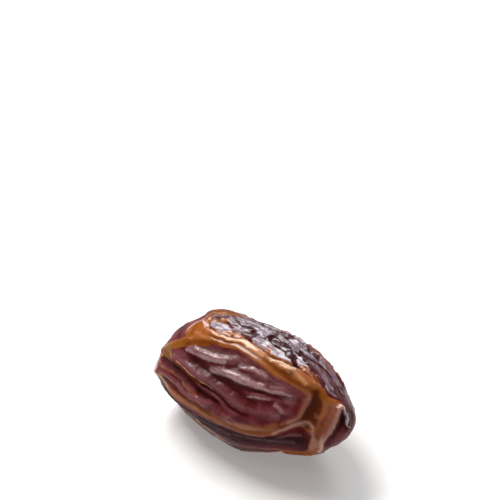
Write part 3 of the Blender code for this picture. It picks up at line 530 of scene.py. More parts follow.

# Painted highlight in pink along the crests of that smooth skin
PINK_HIGHLIGHT_BANDS = (
    Band(1.0, 0.3, 0.3, ((20.9, -2), (21.2, 15), (21.4, 37), (21.3, 56), (21, 74), (20.7, 90),
         (20.5, 104), (20.1, 118))),
    Band(0.7, 0.2, 0.25, ((12.4, 82), (13.6, 78), (14.5, 74), (15.5, 66.5), (16.8, 60), (18.1, 57),
         (19, 62), (19.4, 70))),
    Band(0.6, 0.2, 0.25, ((16.4, 24), (16.5, 31), (16.5, 38), (16.4, 48), (16, 57), (14.8, 64))),
    Band(0.5, 0.2, 0.25, ((-12.5, 98.5), (-10, 99), (-7, 99), (-4, 97.8), (-1, 95.3), (2, 93),
         (5.7, 92.2), (8.8, 91.4), (10.6, 89))),
)

# Painted shade where the light hardly reaches, under the long hem
SHADE_BANDS = (
    Band(0.65, 0.5, 0.4, ((21.9, 25), (22, 45), (21.8, 62), (21.5, 80), (21.1, 98))),
    Band(0.9, 1.9, 1.0, ((-15, 105), (-10, 107), (-5, 107), (0, 105), (5, 103), (10, 100), (13.5, 98),
         (17, 97))),
    Band(0.9, 0.5, 0.4, ((-16.6, 86), (-15, 84), (-13.4, 84))),
    Band(0.7, 0.8, 0.6, ((-19.4, 6), (-18.2, 14), (-17.4, 22), (-16.4, 26))),
    Band(0.6, 0.6, 0.5, ((-17, 66), (-14.5, 65), (-12, 65), (-9, 67))),
)

# Golden skin at the stem end
GOLD_PATCHES = (
    Patch(-12.0, -33, 3.0, 3.0, 0.9),
    Patch(-14.6, 37, 2.2, 1.3, 0.8),
    Patch(-17.4, 55, 1.8, 1.3, 1.0),
    Patch(-17.2, 48, 1.7, 1.4, 1.0),
    Patch(-19.8, 47, 1.6, 2.6, 0.9),
    Patch(-20.5, 25, 1.6, 3.0, 0.7),
    Patch(-13.8, -22, 2.8, 3.0, 1.0),
    Patch(-22.4, -35, 3.2, 4.6, 0.9),
    Patch(18.0, 125, 2.4, 1.2, 0.9),
    Patch(15.0, 126, 2.4, 1.0, 0.7),
)

# Where the skin has a pale frosty bloom, partly real and partly a painted sheen on the ridges' upper flanks
FROST_AND_SHEEN_BANDS = (
    Band(0.34, 1.5, 1.2, ((-9, 32), (-5, 29), (-1, 26), (3, 25.5), (7, 27), (11, 30), (13.5, 35))),
    Band(0.34, 0.5, 0.6, ((-14, 50), (-11, 51.5), (-8, 53.5), (-5, 55.5), (-2, 58), (1, 61), (4, 63.5),
         (7, 64))),
    Band(0.9, 0.4, 0.3, ((-12, 39.4), (-10.5, 38.6), (-8.4, 38.4), (-6.3, 37), (-4.3, 35.4),
         (-2.6, 32.6))),
    Band(0.6, 0.8, 0.8, ((-11.8, 36), (-10, 34.5), (-7.6, 33.5), (-5, 31.5), (-3, 29.5))),
    Band(0.95, 0.3, 0.25, ((-1.5, 43.4), (0.5, 42.6), (3, 42.6), (5, 41), (7.7, 38.4), (9.8, 36.6),
         (11.8, 34), (13, 32.4))),
    Band(0.7, 0.7, 0.6, ((-4.6, 45), (-3, 43.6), (-1.5, 41.5), (0.5, 40.3), (3, 40), (5, 38.6),
         (7, 37))),
    Band(0.7, 0.6, 0.55, ((0.8, 28), (2.6, 26.6), (4.4, 25.8), (6.6, 25))),
    Band(0.85, 0.25, 0.25, ((5.2, 52), (7, 49.4), (9, 47), (9.8, 46))),
    Band(0.55, 0.5, 0.5, ((11.2, 49), (12.2, 51.5), (12.9, 54))),
    # In the shade under the long hem, where the pale streaks are a painted reflection of the table
    Band(0.3, 0.3, 0.3, ((-12, 100.5), (-8, 102.5), (-4, 102.5), (0, 101))),
    Band(0.3, 0.35, 0.35, ((-9, 108), (-5, 108.5), (-1, 106.5), (3, 105))),
    Band(0.3, 0.35, 0.35, ((4, 103), (7, 101), (10, 99.5))),
    Band(0.35, 0.5, 0.5, ((13.4, 90), (15.5, 86), (17.4, 82))),
    Band(0.3, 0.4, 0.4, ((11, 97), (13.5, 94), (16.5, 96))),
    Band(0.35, 0.8, 0.8, ((2, 80.5), (5, 82), (8, 81.3), (10, 79))),
    Band(0.3, 0.8, 0.8, ((-10.5, 75), (-7.6, 77.5), (-4, 79.5), (-1, 79))),
    Band(0.3, 1.0, 1.0, ((8, 66), (10.5, 63), (12.5, 60))),
)

# The deep, clear orange-brown of the pool between the sunken face and the tip
POOL_BANDS = (
    Band(0.35, 0.4, 0.4, ((12.5, 18), (14.5, 16.5), (16, 15))),
    Band(1.0, 0.7, 0.35, ((16.6, 14), (17.3, 20), (17.6, 26))),
    Band(1.0, 1.7, 0.35, ((17.6, 27), (17.9, 35), (18.0, 44), (18.1, 53))),
    Band(0.95, 0.7, 0.35, ((16.9, 54), (15.4, 62), (14.0, 70))),
)

# Painted highlight: the bright line along a crest where the skin is stretched over it
CREST_HIGHLIGHT_BANDS = (
    Band(0.85, 0.13, 0.16, ((-12.6, 5), (-11.3, 10), (-9.8, 12.4), (-7.9, 13), (-5.5, 12), (-3.3, 9.3),
         (-1.4, 6.6), (0.5, 7.2), (2.7, 8.4), (5.3, 9), (7.3, 7.2), (9.4, 5), (11.5, 3.2))),
    Band(0.8, 0.35, 0.35, ((5.4, 9.2), (7.3, 8), (9.2, 6.4), (10.6, 5))),
    Band(0.7, 0.22, 0.22, ((-3.4, 9.6), (-1.6, 7.4), (0.3, 8))),
    Band(0.6, 0.12, 0.15, ((-11.6, 55.8), (-9.5, 57.2), (-7.4, 58.7), (-5.7, 59.6))),
    Band(0.5, 0.2, 0.2, ((13.6, 68), (14, 66), (14.6, 64.6))),
)

# What the bands are called on the mesh
BANDS = {
    "amber": AMBER_BANDS,
    "peach_and_highlight": PEACH_AND_HIGHLIGHT_BANDS,
    "deep_orange_and_shade": DEEP_ORANGE_AND_SHADE_BANDS,
    "rose": ROSE_BANDS,
    "pink_highlight": PINK_HIGHLIGHT_BANDS,
    "shade": SHADE_BANDS,
    "frost_and_sheen": FROST_AND_SHEEN_BANDS,
    "pool": POOL_BANDS,
    "crest_highlight": CREST_HIGHLIGHT_BANDS,
}

# A crest that fully shows its painted highlight, and a hollow its painted shade, and how many times the
# relief is evened to find them
FULL_CREST = 0.35 * MM
EVENING_ROUNDS = 40

# A wrinkle height that counts as fully crumpled, and where the scar's colour fades out
FULL_CRUMPLE = 0.4 * MM
SCAR_COLOUR_EDGE = (1.2 * MM, 2.6 * MM)


def ease(low, high, value):
    """0 below low, 1 above high, and a smooth step between."""
    share = np.clip((value - low) / (high - low), 0.0, 1.0)
    return share * share * (3.0 - 2.0 * share)


def skin_point(share, sine, cosine):
    """The plain form's point at this share of the half length, in the direction round the fruit."""
    bluntness = STEM_BLUNTNESS + (TIP_BLUNTNESS - STEM_BLUNTNESS) * ease(-0.6, 0.6, share)
    across = np.maximum(1.0 - np.abs(share) ** bluntness, 0.0) ** (1.0 / bluntness)
    across = across * (1.0 - TIP_NARROWING * ease(0.1, 1.0, share))
    lift = TIP_LIFT * ease(0.2, 1.0, share)
    return np.stack(
        (HALF_LENGTH * share, -HALF_WIDTH * across * sine, HALF_HEIGHT * across * cosine + lift), axis=-1
    )


def place(along, round_degrees):
    """The plain form's point at a place in millimetres along and degrees round."""
    angle = np.radians(np.asarray(round_degrees, float))
    return skin_point(np.asarray(along, float) * MM / HALF_LENGTH, np.sin(angle), np.cos(angle))


def plain_form(directions):
    """Points of the plain form for unit directions from its middle."""
    along = directions[:, 0]
    across = np.maximum(np.hypot(directions[:, 1], directions[:, 2]), 1e-12)
    reach = (np.abs(along) ** SPREAD_BLUNTNESS + across**SPREAD_BLUNTNESS) ** (-1.0 / SPREAD_BLUNTNESS)
    return skin_point(along * reach, -directions[:, 1] / across, directions[:, 2] / across)


def smooth_route(route):
    """The route as points on the plain form, on a smooth curve through its places."""
    places = np.array(route, float)
    padded = np.vstack((2 * places[0] - places[1], places, 2 * places[-1] - places[-2]))
    steps = np.linspace(0.0, 1.0, STEPS_PER_SPAN, endpoint=False)[:, None]
    curve = []
    for before, start, end, after in zip(padded, padded[1:], padded[2:], padded[3:]):
        curve.append(
            0.5
            * (
                2 * start
                + (end - before) * steps
                + (2 * before - 5 * start + 4 * end - after) * steps**2
                + (3 * start - before - 3 * end + after) * steps**3
            )
        )
    curve = np.vstack((*curve, places[-1:]))
    return place(curve[:, 0], curve[:, 1])


def along_route(points, normals, route, reach):
    """For points within reach of a route: their indices, distance, side (1 or -1) and share of the way."""
    path = smooth_route(route)
    low, high = path.min(axis=0) - reach, path.max(axis=0) + reach
    near = np.flatnonzero(((points > low) & (points < high)).all(axis=1))
    starts, spans = path[:-1], np.diff(path, axis=0)
    lengths = np.linalg.norm(spans, axis=1)
    before = np.concatenate(([0.0], np.cumsum(lengths)))
    offset = points[near][:, None, :] - starts[None]
    share = np.clip((offset * spans).sum(axis=2) / lengths**2, 0.0, 1.0)
    gap = offset - share[..., None] * spans
    distance = np.linalg.norm(gap, axis=2)
    nearest = distance.argmin(axis=1)
    rows = np.arange(len(near))
    turn = np.cross(spans[nearest], normals[near])
    side = np.sign((turn * gap[rows, nearest]).sum(axis=1))
    travelled = (before[nearest] + share[rows, nearest] * lengths[nearest]) / before[-1]
    return near, distance[rows, nearest], side, travelled


def profile(ratio, rounding):
    """A crest at 0, rounded by so much, that falls away on both sides."""
    return np.exp(rounding - np.sqrt(ratio**2 + rounding**2))


def end_fade(travelled):
    """Lower at both ends of a route, full height between."""
    full = ease(0.0, END_FADE, travelled) * ease(0.0, END_FADE, 1.0 - travelled)
    return END_HEIGHT + (1.0 - END_HEIGHT) * full


def joined_routes(points, normals, rows, rounding):
    """The height of several routes together, each a Fold. Where they meet, the higher rules."""
    total = np.zeros(len(points))
    for height, half_width, lean, route in rows:
        near, distance, side, travelled = along_route(
            points, normals, route, REACH_IN_WIDTHS * half_width * MM
        )
        width = MM * half_width * (1.0 + lean * side)
        rise = height * MM * profile(distance / width, rounding) * end_fade(travelled)
        total[near] += rise**JOIN_POWER
    return total ** (1.0 / JOIN_POWER)


def as_folds(creases):
    """The creases as folds that don't lean."""
    return [Fold(crease.depth, crease.half_width, 0.0, crease.route) for crease in creases]


def banded(points, normals, bands):
    """How strongly the bands colour each point, from 0 to 1. Where they overlap, the stronger rules."""
    total = np.zeros(len(points))
    for strength, half_width, edge, route in bands:
        near, distance, _, _ = along_route(points, normals, route, (half_width + edge) * MM)
        share = strength * (1.0 - ease((half_width - edge) * MM, (half_width + edge) * MM, distance))
        total[near] = np.maximum(total[near], share)
    return total


def oval(points, patch):
    """1 in the middle of a patch, falling away smoothly."""
    gap = (points - place(patch.along, patch.round)) / MM
    across = (gap[:, 1] ** 2 + gap[:, 2] ** 2) / patch.half_width**2
    return np.exp(-(gap[:, 0] / patch.half_length) ** 2 - across)


def swelling(points, rows):
    """The sum of smooth swellings, each an oval on the skin."""
    return sum(row.height * MM * oval(points, row) for row in rows)


def patched(points, patches):
    """How strongly the patches colour each point, from 0 to 1."""
    return np.clip(sum(patch.height * oval(points, patch) for patch in patches), 0.0, 1.0)


def crumpled(plain, normals):
    """The plates of crumpled skin: their height with the grooves between, how much painted reflection, and
    how grooved.
    """
    points = strayed(plain, PLATE_STRAYS)
    angle = np.degrees(np.arctan2(-points[:, 1] / HALF_WIDTH, points[:, 2] / HALF_HEIGHT))
    along = points[:, 0] / MM
    round_arc = angle * MM_PER_DEGREE
    slant = (cos(PLATE_SLANT), sin(PLATE_SLANT))
    gaps = []
    for plate in PLATES:
        step = (along - plate.along, round_arc - plate.round * MM_PER_DEGREE)
        lengthwise = (step[0] * slant[0] + step[1] * slant[1]) / PLATE_STRETCH
        gaps.append(np.hypot(lengthwise, step[1] * slant[0] - step[0] * slant[1]))
    gaps = np.array(gaps)
    order = np.argsort(gaps, axis=0)
    rows = np.arange(len(points))
    nearest, second = gaps[order[0], rows], gaps[order[1], rows]
    plate, other = (Plate(*np.array(PLATES)[choice].T) for choice in order[:2])
    own = 0.5 + 0.5 * ease(0.0, PLATE_BLEND, second - nearest)
    unlike = LEAST_GROOVE + (1.0 - LEAST_GROOVE) * ease(*TONE_GAP, np.abs(plate.lilac - other.lilac))
    groove = unlike * np.exp(-(((second - nearest) / (2.0 * GROOVE_WIDTH)) ** 2))
    rises = []
    for one in (plate, other):
        off_middle = round_arc - one.round * MM_PER_DEGREE
        rises.append(one.rise + PLATE_STEEPNESS * one.tilt * off_middle)
    height = own * rises[0] + (1.0 - own) * rises[1] - GROOVE_DEPTH * groove
    tone = own * plate.lilac + (1.0 - own) * other.lilac
    inside = (1.0 - ease(*PLATE_FADE, nearest)) * (1.0 - banded(plain, normals, (SMOOTH_BAND,)))
    return height * inside * MM, tone * inside * (1.0 - groove), groove * inside


def wrinkles(points, kind):
    """Long thin crests that wander over the skin, from 0 between them to 1 on each crest."""
    scale = np.array((1.0 / kind.stretch, 1.0, 1.0)) / kind.spacing
    crests = np.empty(len(points))
    for index, point in enumerate(points * scale):
        spot = Vector(point)
        spot += kind.wander * noise.noise_vector(spot * WANDERING_SCALE)
        crests[index] = abs(noise.noise(spot))
    return np.exp(-kind.sharpness * crests) - np.exp(-kind.sharpness)


def strayed(points, strays):
    """The points moved a little to and fro, so that what is laid out there isn't ruled with a pen."""
    moved = points.copy()
    for reach, length in strays:
        for index, point in enumerate(points / length):
            moved[index] += reach * np.array(noise.noise_vector(Vector(point)))
    return moved


def scar_and_point(points):
    """The sunken stalk scar with its raised rim, and the small dry point at the tip."""
    from_scar = np.linalg.norm(points - place(*SCAR_PLACE), axis=1)
    from_tip = np.linalg.norm(points - place(*POINT_PLACE), axis=1)
    hollow = SCAR_DEPTH * np.exp(-((from_scar / SCAR_RADIUS) ** 4))
    rim = SCAR_RIM_HEIGHT * np.exp(-(((from_scar - SCAR_RIM_RADIUS) / SCAR_RIM_WIDTH) ** 2))
    return rim - hollow + POINT_HEIGHT * np.exp(-((from_tip / POINT_RADIUS) ** 2))


def pressed(points):
    """1 over the spot that carries the fruit, where its weight has smoothed the skin, and 0 away from it."""
    spread = (points - place(0, 180)) / (PRESSED_LENGTH, PRESSED_WIDTH, PRESSED_WIDTH)
    return np.exp(-((spread**2).sum(axis=1) ** 2))


def cube_as_ball(corner):
    """The unit ball's direction for a point on the cube from -1 to 1, with even spacing."""
    x, y, z = corner
    return Vector(
        (
            x * (1 - y * y / 2 - z * z / 2 + y * y * z * z / 3) ** 0.5,
            y * (1 - z * z / 2 - x * x / 2 + z * z * x * x / 3) ** 0.5,
            z * (1 - x * x / 2 - y * y / 2 + x * x * y * y / 3) ** 0.5,
        )
    )


def ball_mesh(cells_across, cells_along):
    """A ball of even four-sided cells, with its own count of cells along X."""
    shape = bmesh.new()
    bmesh.ops.create_cube(shape, size=2.0)
    lengthwise = [e for e in shape.edges if abs(e.verts[0].co.x - e.verts[1].co.x) > 1.0]
    bmesh.ops.subdivide_edges(shape, edges=lengthwise, cuts=cells_along - 1, use_grid_fill=True)
    crosswise = [e for e in shape.edges if abs(e.verts[0].co.x - e.verts[1].co.x) < 1e-6]
    bmesh.ops.subdivide_edges(shape, edges=crosswise, cuts=cells_across - 1, use_grid_fill=True)
    for vertex in shape.verts:
        vertex.co = cube_as_ball(vertex.co)
    mesh = bpy.data.meshes.new("date_skin")
    shape.to_mesh(mesh)
    shape.free()
    return mesh


def read_vectors(items, field):
    """One row of three numbers for each of the items."""
    values = np.empty(len(items) * 3, np.float32)
    items.foreach_get(field, values)
    return values.reshape(-1, 3).astype(float)


def write_points(mesh, points):
    """Moves the mesh's points to these."""
    mesh.vertices.foreach_set("co", points.astype(np.float32).ravel())
    mesh.update()


def write_share(mesh, name, values):
    """A value from 0 to 1 for each point of the mesh, for its material to read."""
    attribute = mesh.attributes.new(name, "FLOAT", "POINT")
    attribute.data.foreach_set("value", np.clip(values, 0.0, 1.0).astype(np.float32))


def evened(mesh, values, rounds):
    """The values averaged with their neighbours along the mesh's edges, this many times."""
    ends = np.empty(len(mesh.edges) * 2, np.int32)
    mesh.edges.foreach_get("vertices", ends)
    first, second = ends[0::2], ends[1::2]
    count = np.bincount(ends, minlength=len(values)) + 1.0
    for _ in range(rounds):
        ahead = np.bincount(first, values[second], len(values))
        behind = np.bincount(second, values[first], len(values))
        values = (values + (ahead + behind)) / count
    return values


def set_down(points):
    """The fruit rests on a flat spot at height 0, inside the solid's box."""
    floor = points[:, 2].min() + FLAT_DEPTH
    settled = points.copy()
    settled[:, 2] = np.maximum(points[:, 2], floor) - floor
    low, high = settled.min(axis=0), settled.max(axis=0)
    return np.array(cad_low) + (settled - low) * (np.array(cad_high - cad_low) / (high - low))


# The colour sockets of a Mix node by their places, as several sockets share a name
MIX_FIRST = 6
MIX_SECOND = 7
MIX_RESULT = 2


class Wire:
    """A value from a shader node's output, which sums and products can use."""

    def __init__(self, finish, socket):
        self.finish = finish
        self.socket = socket

    def combine(self, operation, first, second):
        """The result of one step of arithmetic."""
        return self.finish.node("ShaderNodeMath", {"operation": operation}, {0: first, 1: second})

    def __add__(self, other):
        return self.combine("ADD", self, other)

    def __sub__(self, other):
        return self.combine("SUBTRACT", self, other)

    def __mul__(self, other):
        return self.combine("MULTIPLY", self, other)

    def __rsub__(self, other):
        return self.combine("SUBTRACT", other, self)

    __radd__ = __add__
    __rmul__ = __mul__


class Finish:
    """A material under construction."""

    def __init__(self, name):
        self.material = bpy.data.materials.new(name)
        self.material.use_nodes = True
        self.tree = self.material.node_tree
        self.shader = self.tree.nodes["Principled BSDF"]

    def plug(self, socket, value):
        """Sets a socket to a constant, or links a wire to it."""
        if isinstance(value, Wire):
            self.tree.links.new(value.socket, socket)
        else:
            socket.default_value = value

    def node(self, kind, settings=None, sockets=None, output=0):
        """Adds a node, sets it up, fills its input sockets and gives one of its outputs."""
        added = self.tree.nodes.new(kind)
        for field, value in (settings or {}).items():
            setattr(added, field, value)
        for socket, value in (sockets or {}).items():
            self.plug(added.inputs[socket], value)
        return Wire(self, added.outputs[output])

    @cache
    def share(self, name):
        """A value that the mesh carries for each point. Its node is made once."""
        return self.node("ShaderNodeAttribute", {"attribute_name": name}, output="Fac")

    @cache
    def grain(self, kind):
        """Noise over the surface, from 0 to 1. Its node is made once."""
        where = self.node("ShaderNodeTexCoord", output="Object")
        spot = self.node("ShaderNodeMapping", {}, {"Vector": where, "Scale": kind.stretch})
        return self.node(
            "ShaderNodeTexNoise",
            {},
            {
                "Vector": spot,
                "Scale": kind.scale,
                "Detail": kind.detail,
                "Roughness": kind.roughness,
                "Distortion": kind.warp,
            },
        )

    def step(self, value, low, high):
        """0 where the value is under low, 1 over high, smooth between."""
        return self.node(
            "ShaderNodeMapRange",
            {"interpolation_type": "SMOOTHSTEP"},
            {"Value": value, "From Min": low, "From Max": high, "To Min": 0.0, "To Max": 1.0},
        )

    def mix(self, share, first, second):
        """From the first colour at 0 to the second at 1."""
        sockets = {"Factor": share, MIX_FIRST: first, MIX_SECOND: second}
        return self.node("ShaderNodeMix", {"data_type": "RGBA"}, sockets, output=MIX_RESULT)

    def set(self, **values):
        """Fills the shader's sockets, each named with _ for a space."""
        for name, value in values.items():
            self.plug(self.shader.inputs[name.replace("_", " ")], value)


# The colours of the skin, as light reflected in red, green and blue
WINE = (0.150, 0.018, 0.020, 1.0)
# Mauve: a tone that comes and goes, and the painted sheen on crests
MAUVE = (0.230, 0.065, 0.075, 1.0)
# Frosty bloom, partly a painted sheen
FROST_AND_SHEEN = (0.620, 0.380, 0.390, 1.0)
# Painted shade, near black, for hollows
OXBLOOD_SHADE = (0.050, 0.003, 0.002, 1.0)
PLUM = (0.045, 0.009, 0.014, 1.0)
# Painted reflection and painted glints for the crumpled plates
GLINT_LILAC = (0.330, 0.240, 0.300, 1.0)
GLINT_WHITE = (0.900, 0.820, 0.840, 1.0)
# Painted shade for the hollows and grooves of crumpled skin
MAROON_SHADE = (0.030, 0.003, 0.003, 1.0)
# Painted shade where the light hardly reaches
DEEP_SHADE = (0.042, 0.013, 0.016, 1.0)
AMBER = (0.430, 0.112, 0.008, 1.0)
# Pale peach skin, also used as a painted highlight on crests
PEACH_AND_HIGHLIGHT = (0.690, 0.305, 0.125, 1.0)
# Deep orange, used as painted shade in hollows and grooves
DEEP_ORANGE_AND_SHADE = (0.220, 0.048, 0.002, 1.0)
POOL = (0.120, 0.018, 0.001, 1.0)
GOLD = (0.270, 0.098, 0.008, 1.0)
# Painted highlight for the lines along crests
CREST_HIGHLIGHT = (0.920, 0.640, 0.430, 1.0)
# Painted highlight for the tip's crests
PINK_HIGHLIGHT = (0.600, 0.320, 0.260, 1.0)
ROSE = (0.270, 0.080, 0.042, 1.0)
STALK_TAN = (0.360, 0.190, 0.080, 1.0)

# Noise over the skin: cells per metre, detail, roughness, stretch and warp
Grain = namedtuple("Grain", "scale detail roughness stretch warp")
UNSTRETCHED = (1.0, 1.0, 1.0)
TONES = Grain(260.0, 3.0, 0.6, (0.5, 1.0, 1.0), 0.8)
MOTTLE = Grain(420.0, 4.0, 0.6, (0.6, 1.0, 1.0), 0.0)
SPECKLE = Grain(1900.0, 3.0, 0.6, UNSTRETCHED, 0.0)
STREAKS = Grain(2400.0, 4.0, 0.65, (0.3, 1.0, 1.0), 0.8)
FINE_WRINKLES = Grain(2600.0, 4.0, 0.6, (0.55, 1.0, 1.0), 0.4)
PORES = Grain(7000.0, 2.0, 0.5, UNSTRETCHED, 0.0)

# The skin's fine relief, its gloss, and how far red, green and blue light wander under it
BUMP_STRENGTH = 0.55
BUMP_HEIGHT = 0.12 * MM
COAT_ROUGHNESS = 0.17
SKIN_IOR = 1.12
SKIN_DEPTH = (1.2 * MM, 0.4 * MM, 0.15 * MM)
SKIN_GLOW = 0.1


def flesh_colour(skin):
    """Skin that lies on the flesh: wine and mauve with a painted sheen on crests, painted shade near black
    in hollows and grooves, a painted reflection with glints on the plates, and frost with a painted sheen.
    """
    crest, hollow, crumple = skin.share("crest"), skin.share("hollow"), skin.share("crumple")
    mottle, streaks = skin.grain(MOTTLE), skin.grain(STREAKS)
    # Painted sheen: mauve on crests, wine in hollows, mixed with a tone that comes and goes
    mauve_and_sheen = skin.step(mottle * 0.7 + crest * 0.6 - hollow * 0.8, 0.1, 0.7)
    flesh = skin.mix(mauve_and_sheen, WINE, MAUVE)
    flesh = skin.mix(skin.step(skin.grain(TONES), 0.48, 0.72) * 0.5, flesh, PLUM)
    # Painted shade: near black in the hollows
    flesh = skin.mix(skin.step(hollow, 0.05, 0.75), flesh, OXBLOOD_SHADE)
    flesh = skin.mix(crumple * 0.9, flesh, PLUM)
    # Painted shade in the hollows of crumpled skin
    flesh = skin.mix(skin.step(hollow, 0.0, 0.5) * crumple, flesh, MAROON_SHADE)
    # Painted reflection and glints on the plates: lilac, then white, brighter on crests and darker in
    # hollows
    lilac = skin.share("lilac")
    glint_share = lilac * (1.0 + (streaks - 0.5) * 2.0 + (mottle - 0.5) * 1.6 + (crest - hollow * 1.6) * 0.8)
    flesh = skin.mix(skin.step(glint_share, 0.05, 0.8) * 0.85, flesh, GLINT_LILAC)
    flesh = skin.mix(skin.step(glint_share, 0.7, 1.2) * 0.8, flesh, GLINT_WHITE)
    # Painted shade in the grooves between plates
    flesh = skin.mix(skin.share("groove") * 0.35, flesh, MAROON_SHADE)
    # Painted shade where the light hardly reaches
    flesh = skin.mix(skin.share("shade"), flesh, DEEP_SHADE)
    # Frost: partly bloom, partly a painted sheen and painted reflection
    bloom_and_sheen = skin.share("frost_and_sheen") * (1.0 + (streaks - 0.5) * 2.2 + (mottle - 0.5))
    return skin.mix(skin.step(bloom_and_sheen, 0.1, 1.0) * 0.7, flesh, FROST_AND_SHEEN)


def lifted_colour(skin):
    """Thin skin that has lifted off the flesh: amber, peach where it is stretched with a painted highlight
    on crests, and painted shade of deep orange in the hollows.
    """
    crest, hollow = skin.share("crest"), skin.share("hollow")
    mottle, tones = skin.grain(MOTTLE), skin.grain(TONES)
    # Painted highlight: peach on crests
    lifted = skin.mix(skin.step(crest + mottle * 0.5, 0.45, 1.3) * 0.8, AMBER, PEACH_AND_HIGHLIGHT)
    lifted = skin.mix(skin.step(tones, 0.42, 0.72) * 0.5, lifted, ROSE)
    lifted = skin.mix(skin.step(tones, 0.56, 0.32) * 0.7, lifted, GOLD)
    # Painted shade: deep orange in the hollows
    lifted = skin.mix(skin.step(hollow + mottle * 0.3, 0.15, 0.7), lifted, DEEP_ORANGE_AND_SHADE)
    lifted = skin.mix(skin.share("gold"), lifted, GOLD)
    # Painted shade along the grooves beside the folds
    lifted = skin.mix(skin.share("deep_orange_and_shade"), lifted, DEEP_ORANGE_AND_SHADE)
    lifted = skin.mix(skin.share("pool"), lifted, POOL)
    # Peach where the skin is stretched, partly a painted highlight
    peach_and_highlight_share = skin.step(skin.share("peach_and_highlight") * 0.8 + skin.grain(STREAKS) * 0.6, 0.35, 1.1)
    return skin.mix(peach_and_highlight_share, lifted, PEACH_AND_HIGHLIGHT)


def skin_colour(skin, amber):
    """Both kinds of skin, with the painted highlight lines over the crests, the rosy tip with its painted
    pink crest highlights, and the scar.
    """
    mottle, streaks = skin.grain(MOTTLE), skin.grain(STREAKS)
    colour = skin.mix(amber, flesh_colour(skin), lifted_colour(skin))
    # Painted highlight: a bright line along the crests
    colour = skin.mix(skin.step(skin.share("crest_highlight") + (streaks - 0.5) * 0.5, 0.2, 0.9) * 0.9, colour, CREST_HIGHLIGHT)
    colour = skin.mix(skin.share("rose") * (0.45 + mottle * 1.1), colour, ROSE)
    # Painted pink highlight along the tip's crests
    colour = skin.mix(skin.share("pink_highlight") * (0.5 + streaks), colour, PINK_HIGHLIGHT)
    return skin.mix(skin.share("scar") * (0.35 + mottle * 0.9), colour, STALK_TAN)


def skin_gloss(skin, amber):
    """Wet-looking where the skin is crumpled, lifted or frosty, and dull in hollows, grooves and shade."""
    dull = skin.share("hollow") + skin.share("groove")
    dull = dull + (skin.share("gold") + skin.share("deep_orange_and_shade")) * 0.7 + skin.share("shade") * 1.2
    satin = skin.step(skin.grain(STREAKS) * 0.7 + skin.share("frost_and_sheen") * 0.6, 0.35, 1.0)
    glossy = skin.step(skin.share("crumple") + amber * 0.6 + satin * 0.7, 0.05, 0.9)
    return glossy * (1.0 - skin.step(dull, 0.0, 0.9) * 0.85)


def skin_finish():
    """Thin glossy skin: wine-coloured where it lies on the flesh, amber where it has lifted."""
    skin = Finish("date_skin")
    mottle, scar = skin.grain(MOTTLE), skin.share("scar")
    lifted = skin.share("amber") + (skin.grain(SPECKLE) - 0.5) * 0.25 + (mottle - 0.5) * 0.5
    amber = skin.step(lifted, 0.2, 0.8)
    height = skin.grain(FINE_WRINKLES) * (0.25 + skin.share("crumple") * 0.75) + skin.grain(PORES) * 0.12
    bump = {"Height": height, "Strength": BUMP_STRENGTH, "Distance": BUMP_HEIGHT}
    glossy = skin_gloss(skin, amber)
    skin.set(
        Base_Color=skin_colour(skin, amber),
        Roughness=0.55 - glossy * 0.15 + (mottle - 0.5) * 0.15 + scar * 0.3,
        Normal=skin.node("ShaderNodeBump", {}, bump, output="Normal"),
        IOR=SKIN_IOR,
        Coat_Weight=glossy * (1.0 - scar),
        Coat_Roughness=COAT_ROUGHNESS,
        Subsurface_Weight=SKIN_GLOW,
        Subsurface_Radius=SKIN_DEPTH,
        Subsurface_Scale=1.0,
    )
    return skin.material


def skin_relief(plain, drawn, normals, crumple, plates):
    """How far the skin's folds, creases, wrinkles and plates stand out of the plain form."""
    folds = joined_routes(drawn, normals, FOLDS, SHARP) + joined_routes(drawn, normals, SOFT_FOLDS, SOFT)
    creases = joined_routes(drawn, normals, as_folds(CREASES), SHARP)
    creases += joined_routes(drawn, normals, as_folds(VALLEYS), SOFT)
    fine = crumple * sum(kind.share * wrinkles(plain, kind) for kind in WRINKLES)
    return (folds - creases + fine + plates) * (1.0 - pressed(plain))


def make_date():
    """The whole fruit: its form, the values that its material reads, and its place in the part."""
    noise.seed_set(SKIN_SEED)
    mesh = ball_mesh(CELLS_ACROSS, CELLS_ALONG)
    plain = plain_form(read_vectors(mesh.vertices, "co"))
    write_points(mesh, plain)
    normals = read_vectors(mesh.vertex_normals, "vector")
    drawn = strayed(plain, STRAYS)
    crumple = swelling(plain, PATCHES)
    plates, lilac, groove = crumpled(plain, normals)
    relief = skin_relief(plain, drawn, normals, crumple, plates)
    height = relief + swelling(plain, SWELLS) + scar_and_point(plain)
    write_points(mesh, set_down(plain + normals * height[:, None]))
    stands_out = (relief - evened(mesh, relief, EVENING_ROUNDS)) / FULL_CREST
    from_scar = np.linalg.norm(plain - place(*SCAR_PLACE), axis=1)
    # Crest and hollow drive the painted highlight and painted shade in the material
    write_share(mesh, "crest", stands_out)
    write_share(mesh, "hollow", -stands_out)
    write_share(mesh, "crumple", crumple / FULL_CRUMPLE)
    # How much painted reflection and glint each point of the plates carries
    write_share(mesh, "lilac", lilac)
    write_share(mesh, "groove", groove)
    write_share(mesh, "gold", patched(drawn, GOLD_PATCHES))
    write_share(mesh, "scar", 1.0 - ease(*SCAR_COLOUR_EDGE, from_scar))
    for name, bands in BANDS.items():
        write_share(mesh, name, banded(drawn, normals, bands))
    mesh.shade_smooth()
    mesh.materials.append(skin_finish())
    date = bpy.data.objects.new("date_skin", mesh)
    bpy.context.scene.collection.objects.link(date)
    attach(date, "root")
    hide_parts("medjool_date")


# The table, which glows a little so that its shadows stay pale, and the room
TABLE_SIZE = 1.6
TABLE_ROUGHNESS = 0.7
TABLE_WHITE = (0.93, 0.925, 0.915, 1.0)
TABLE_GLOW = 0.27
ROOM_WHITE = (1.0, 1.0, 1.0, 1.0)
ROOM_LIGHT = 0.10

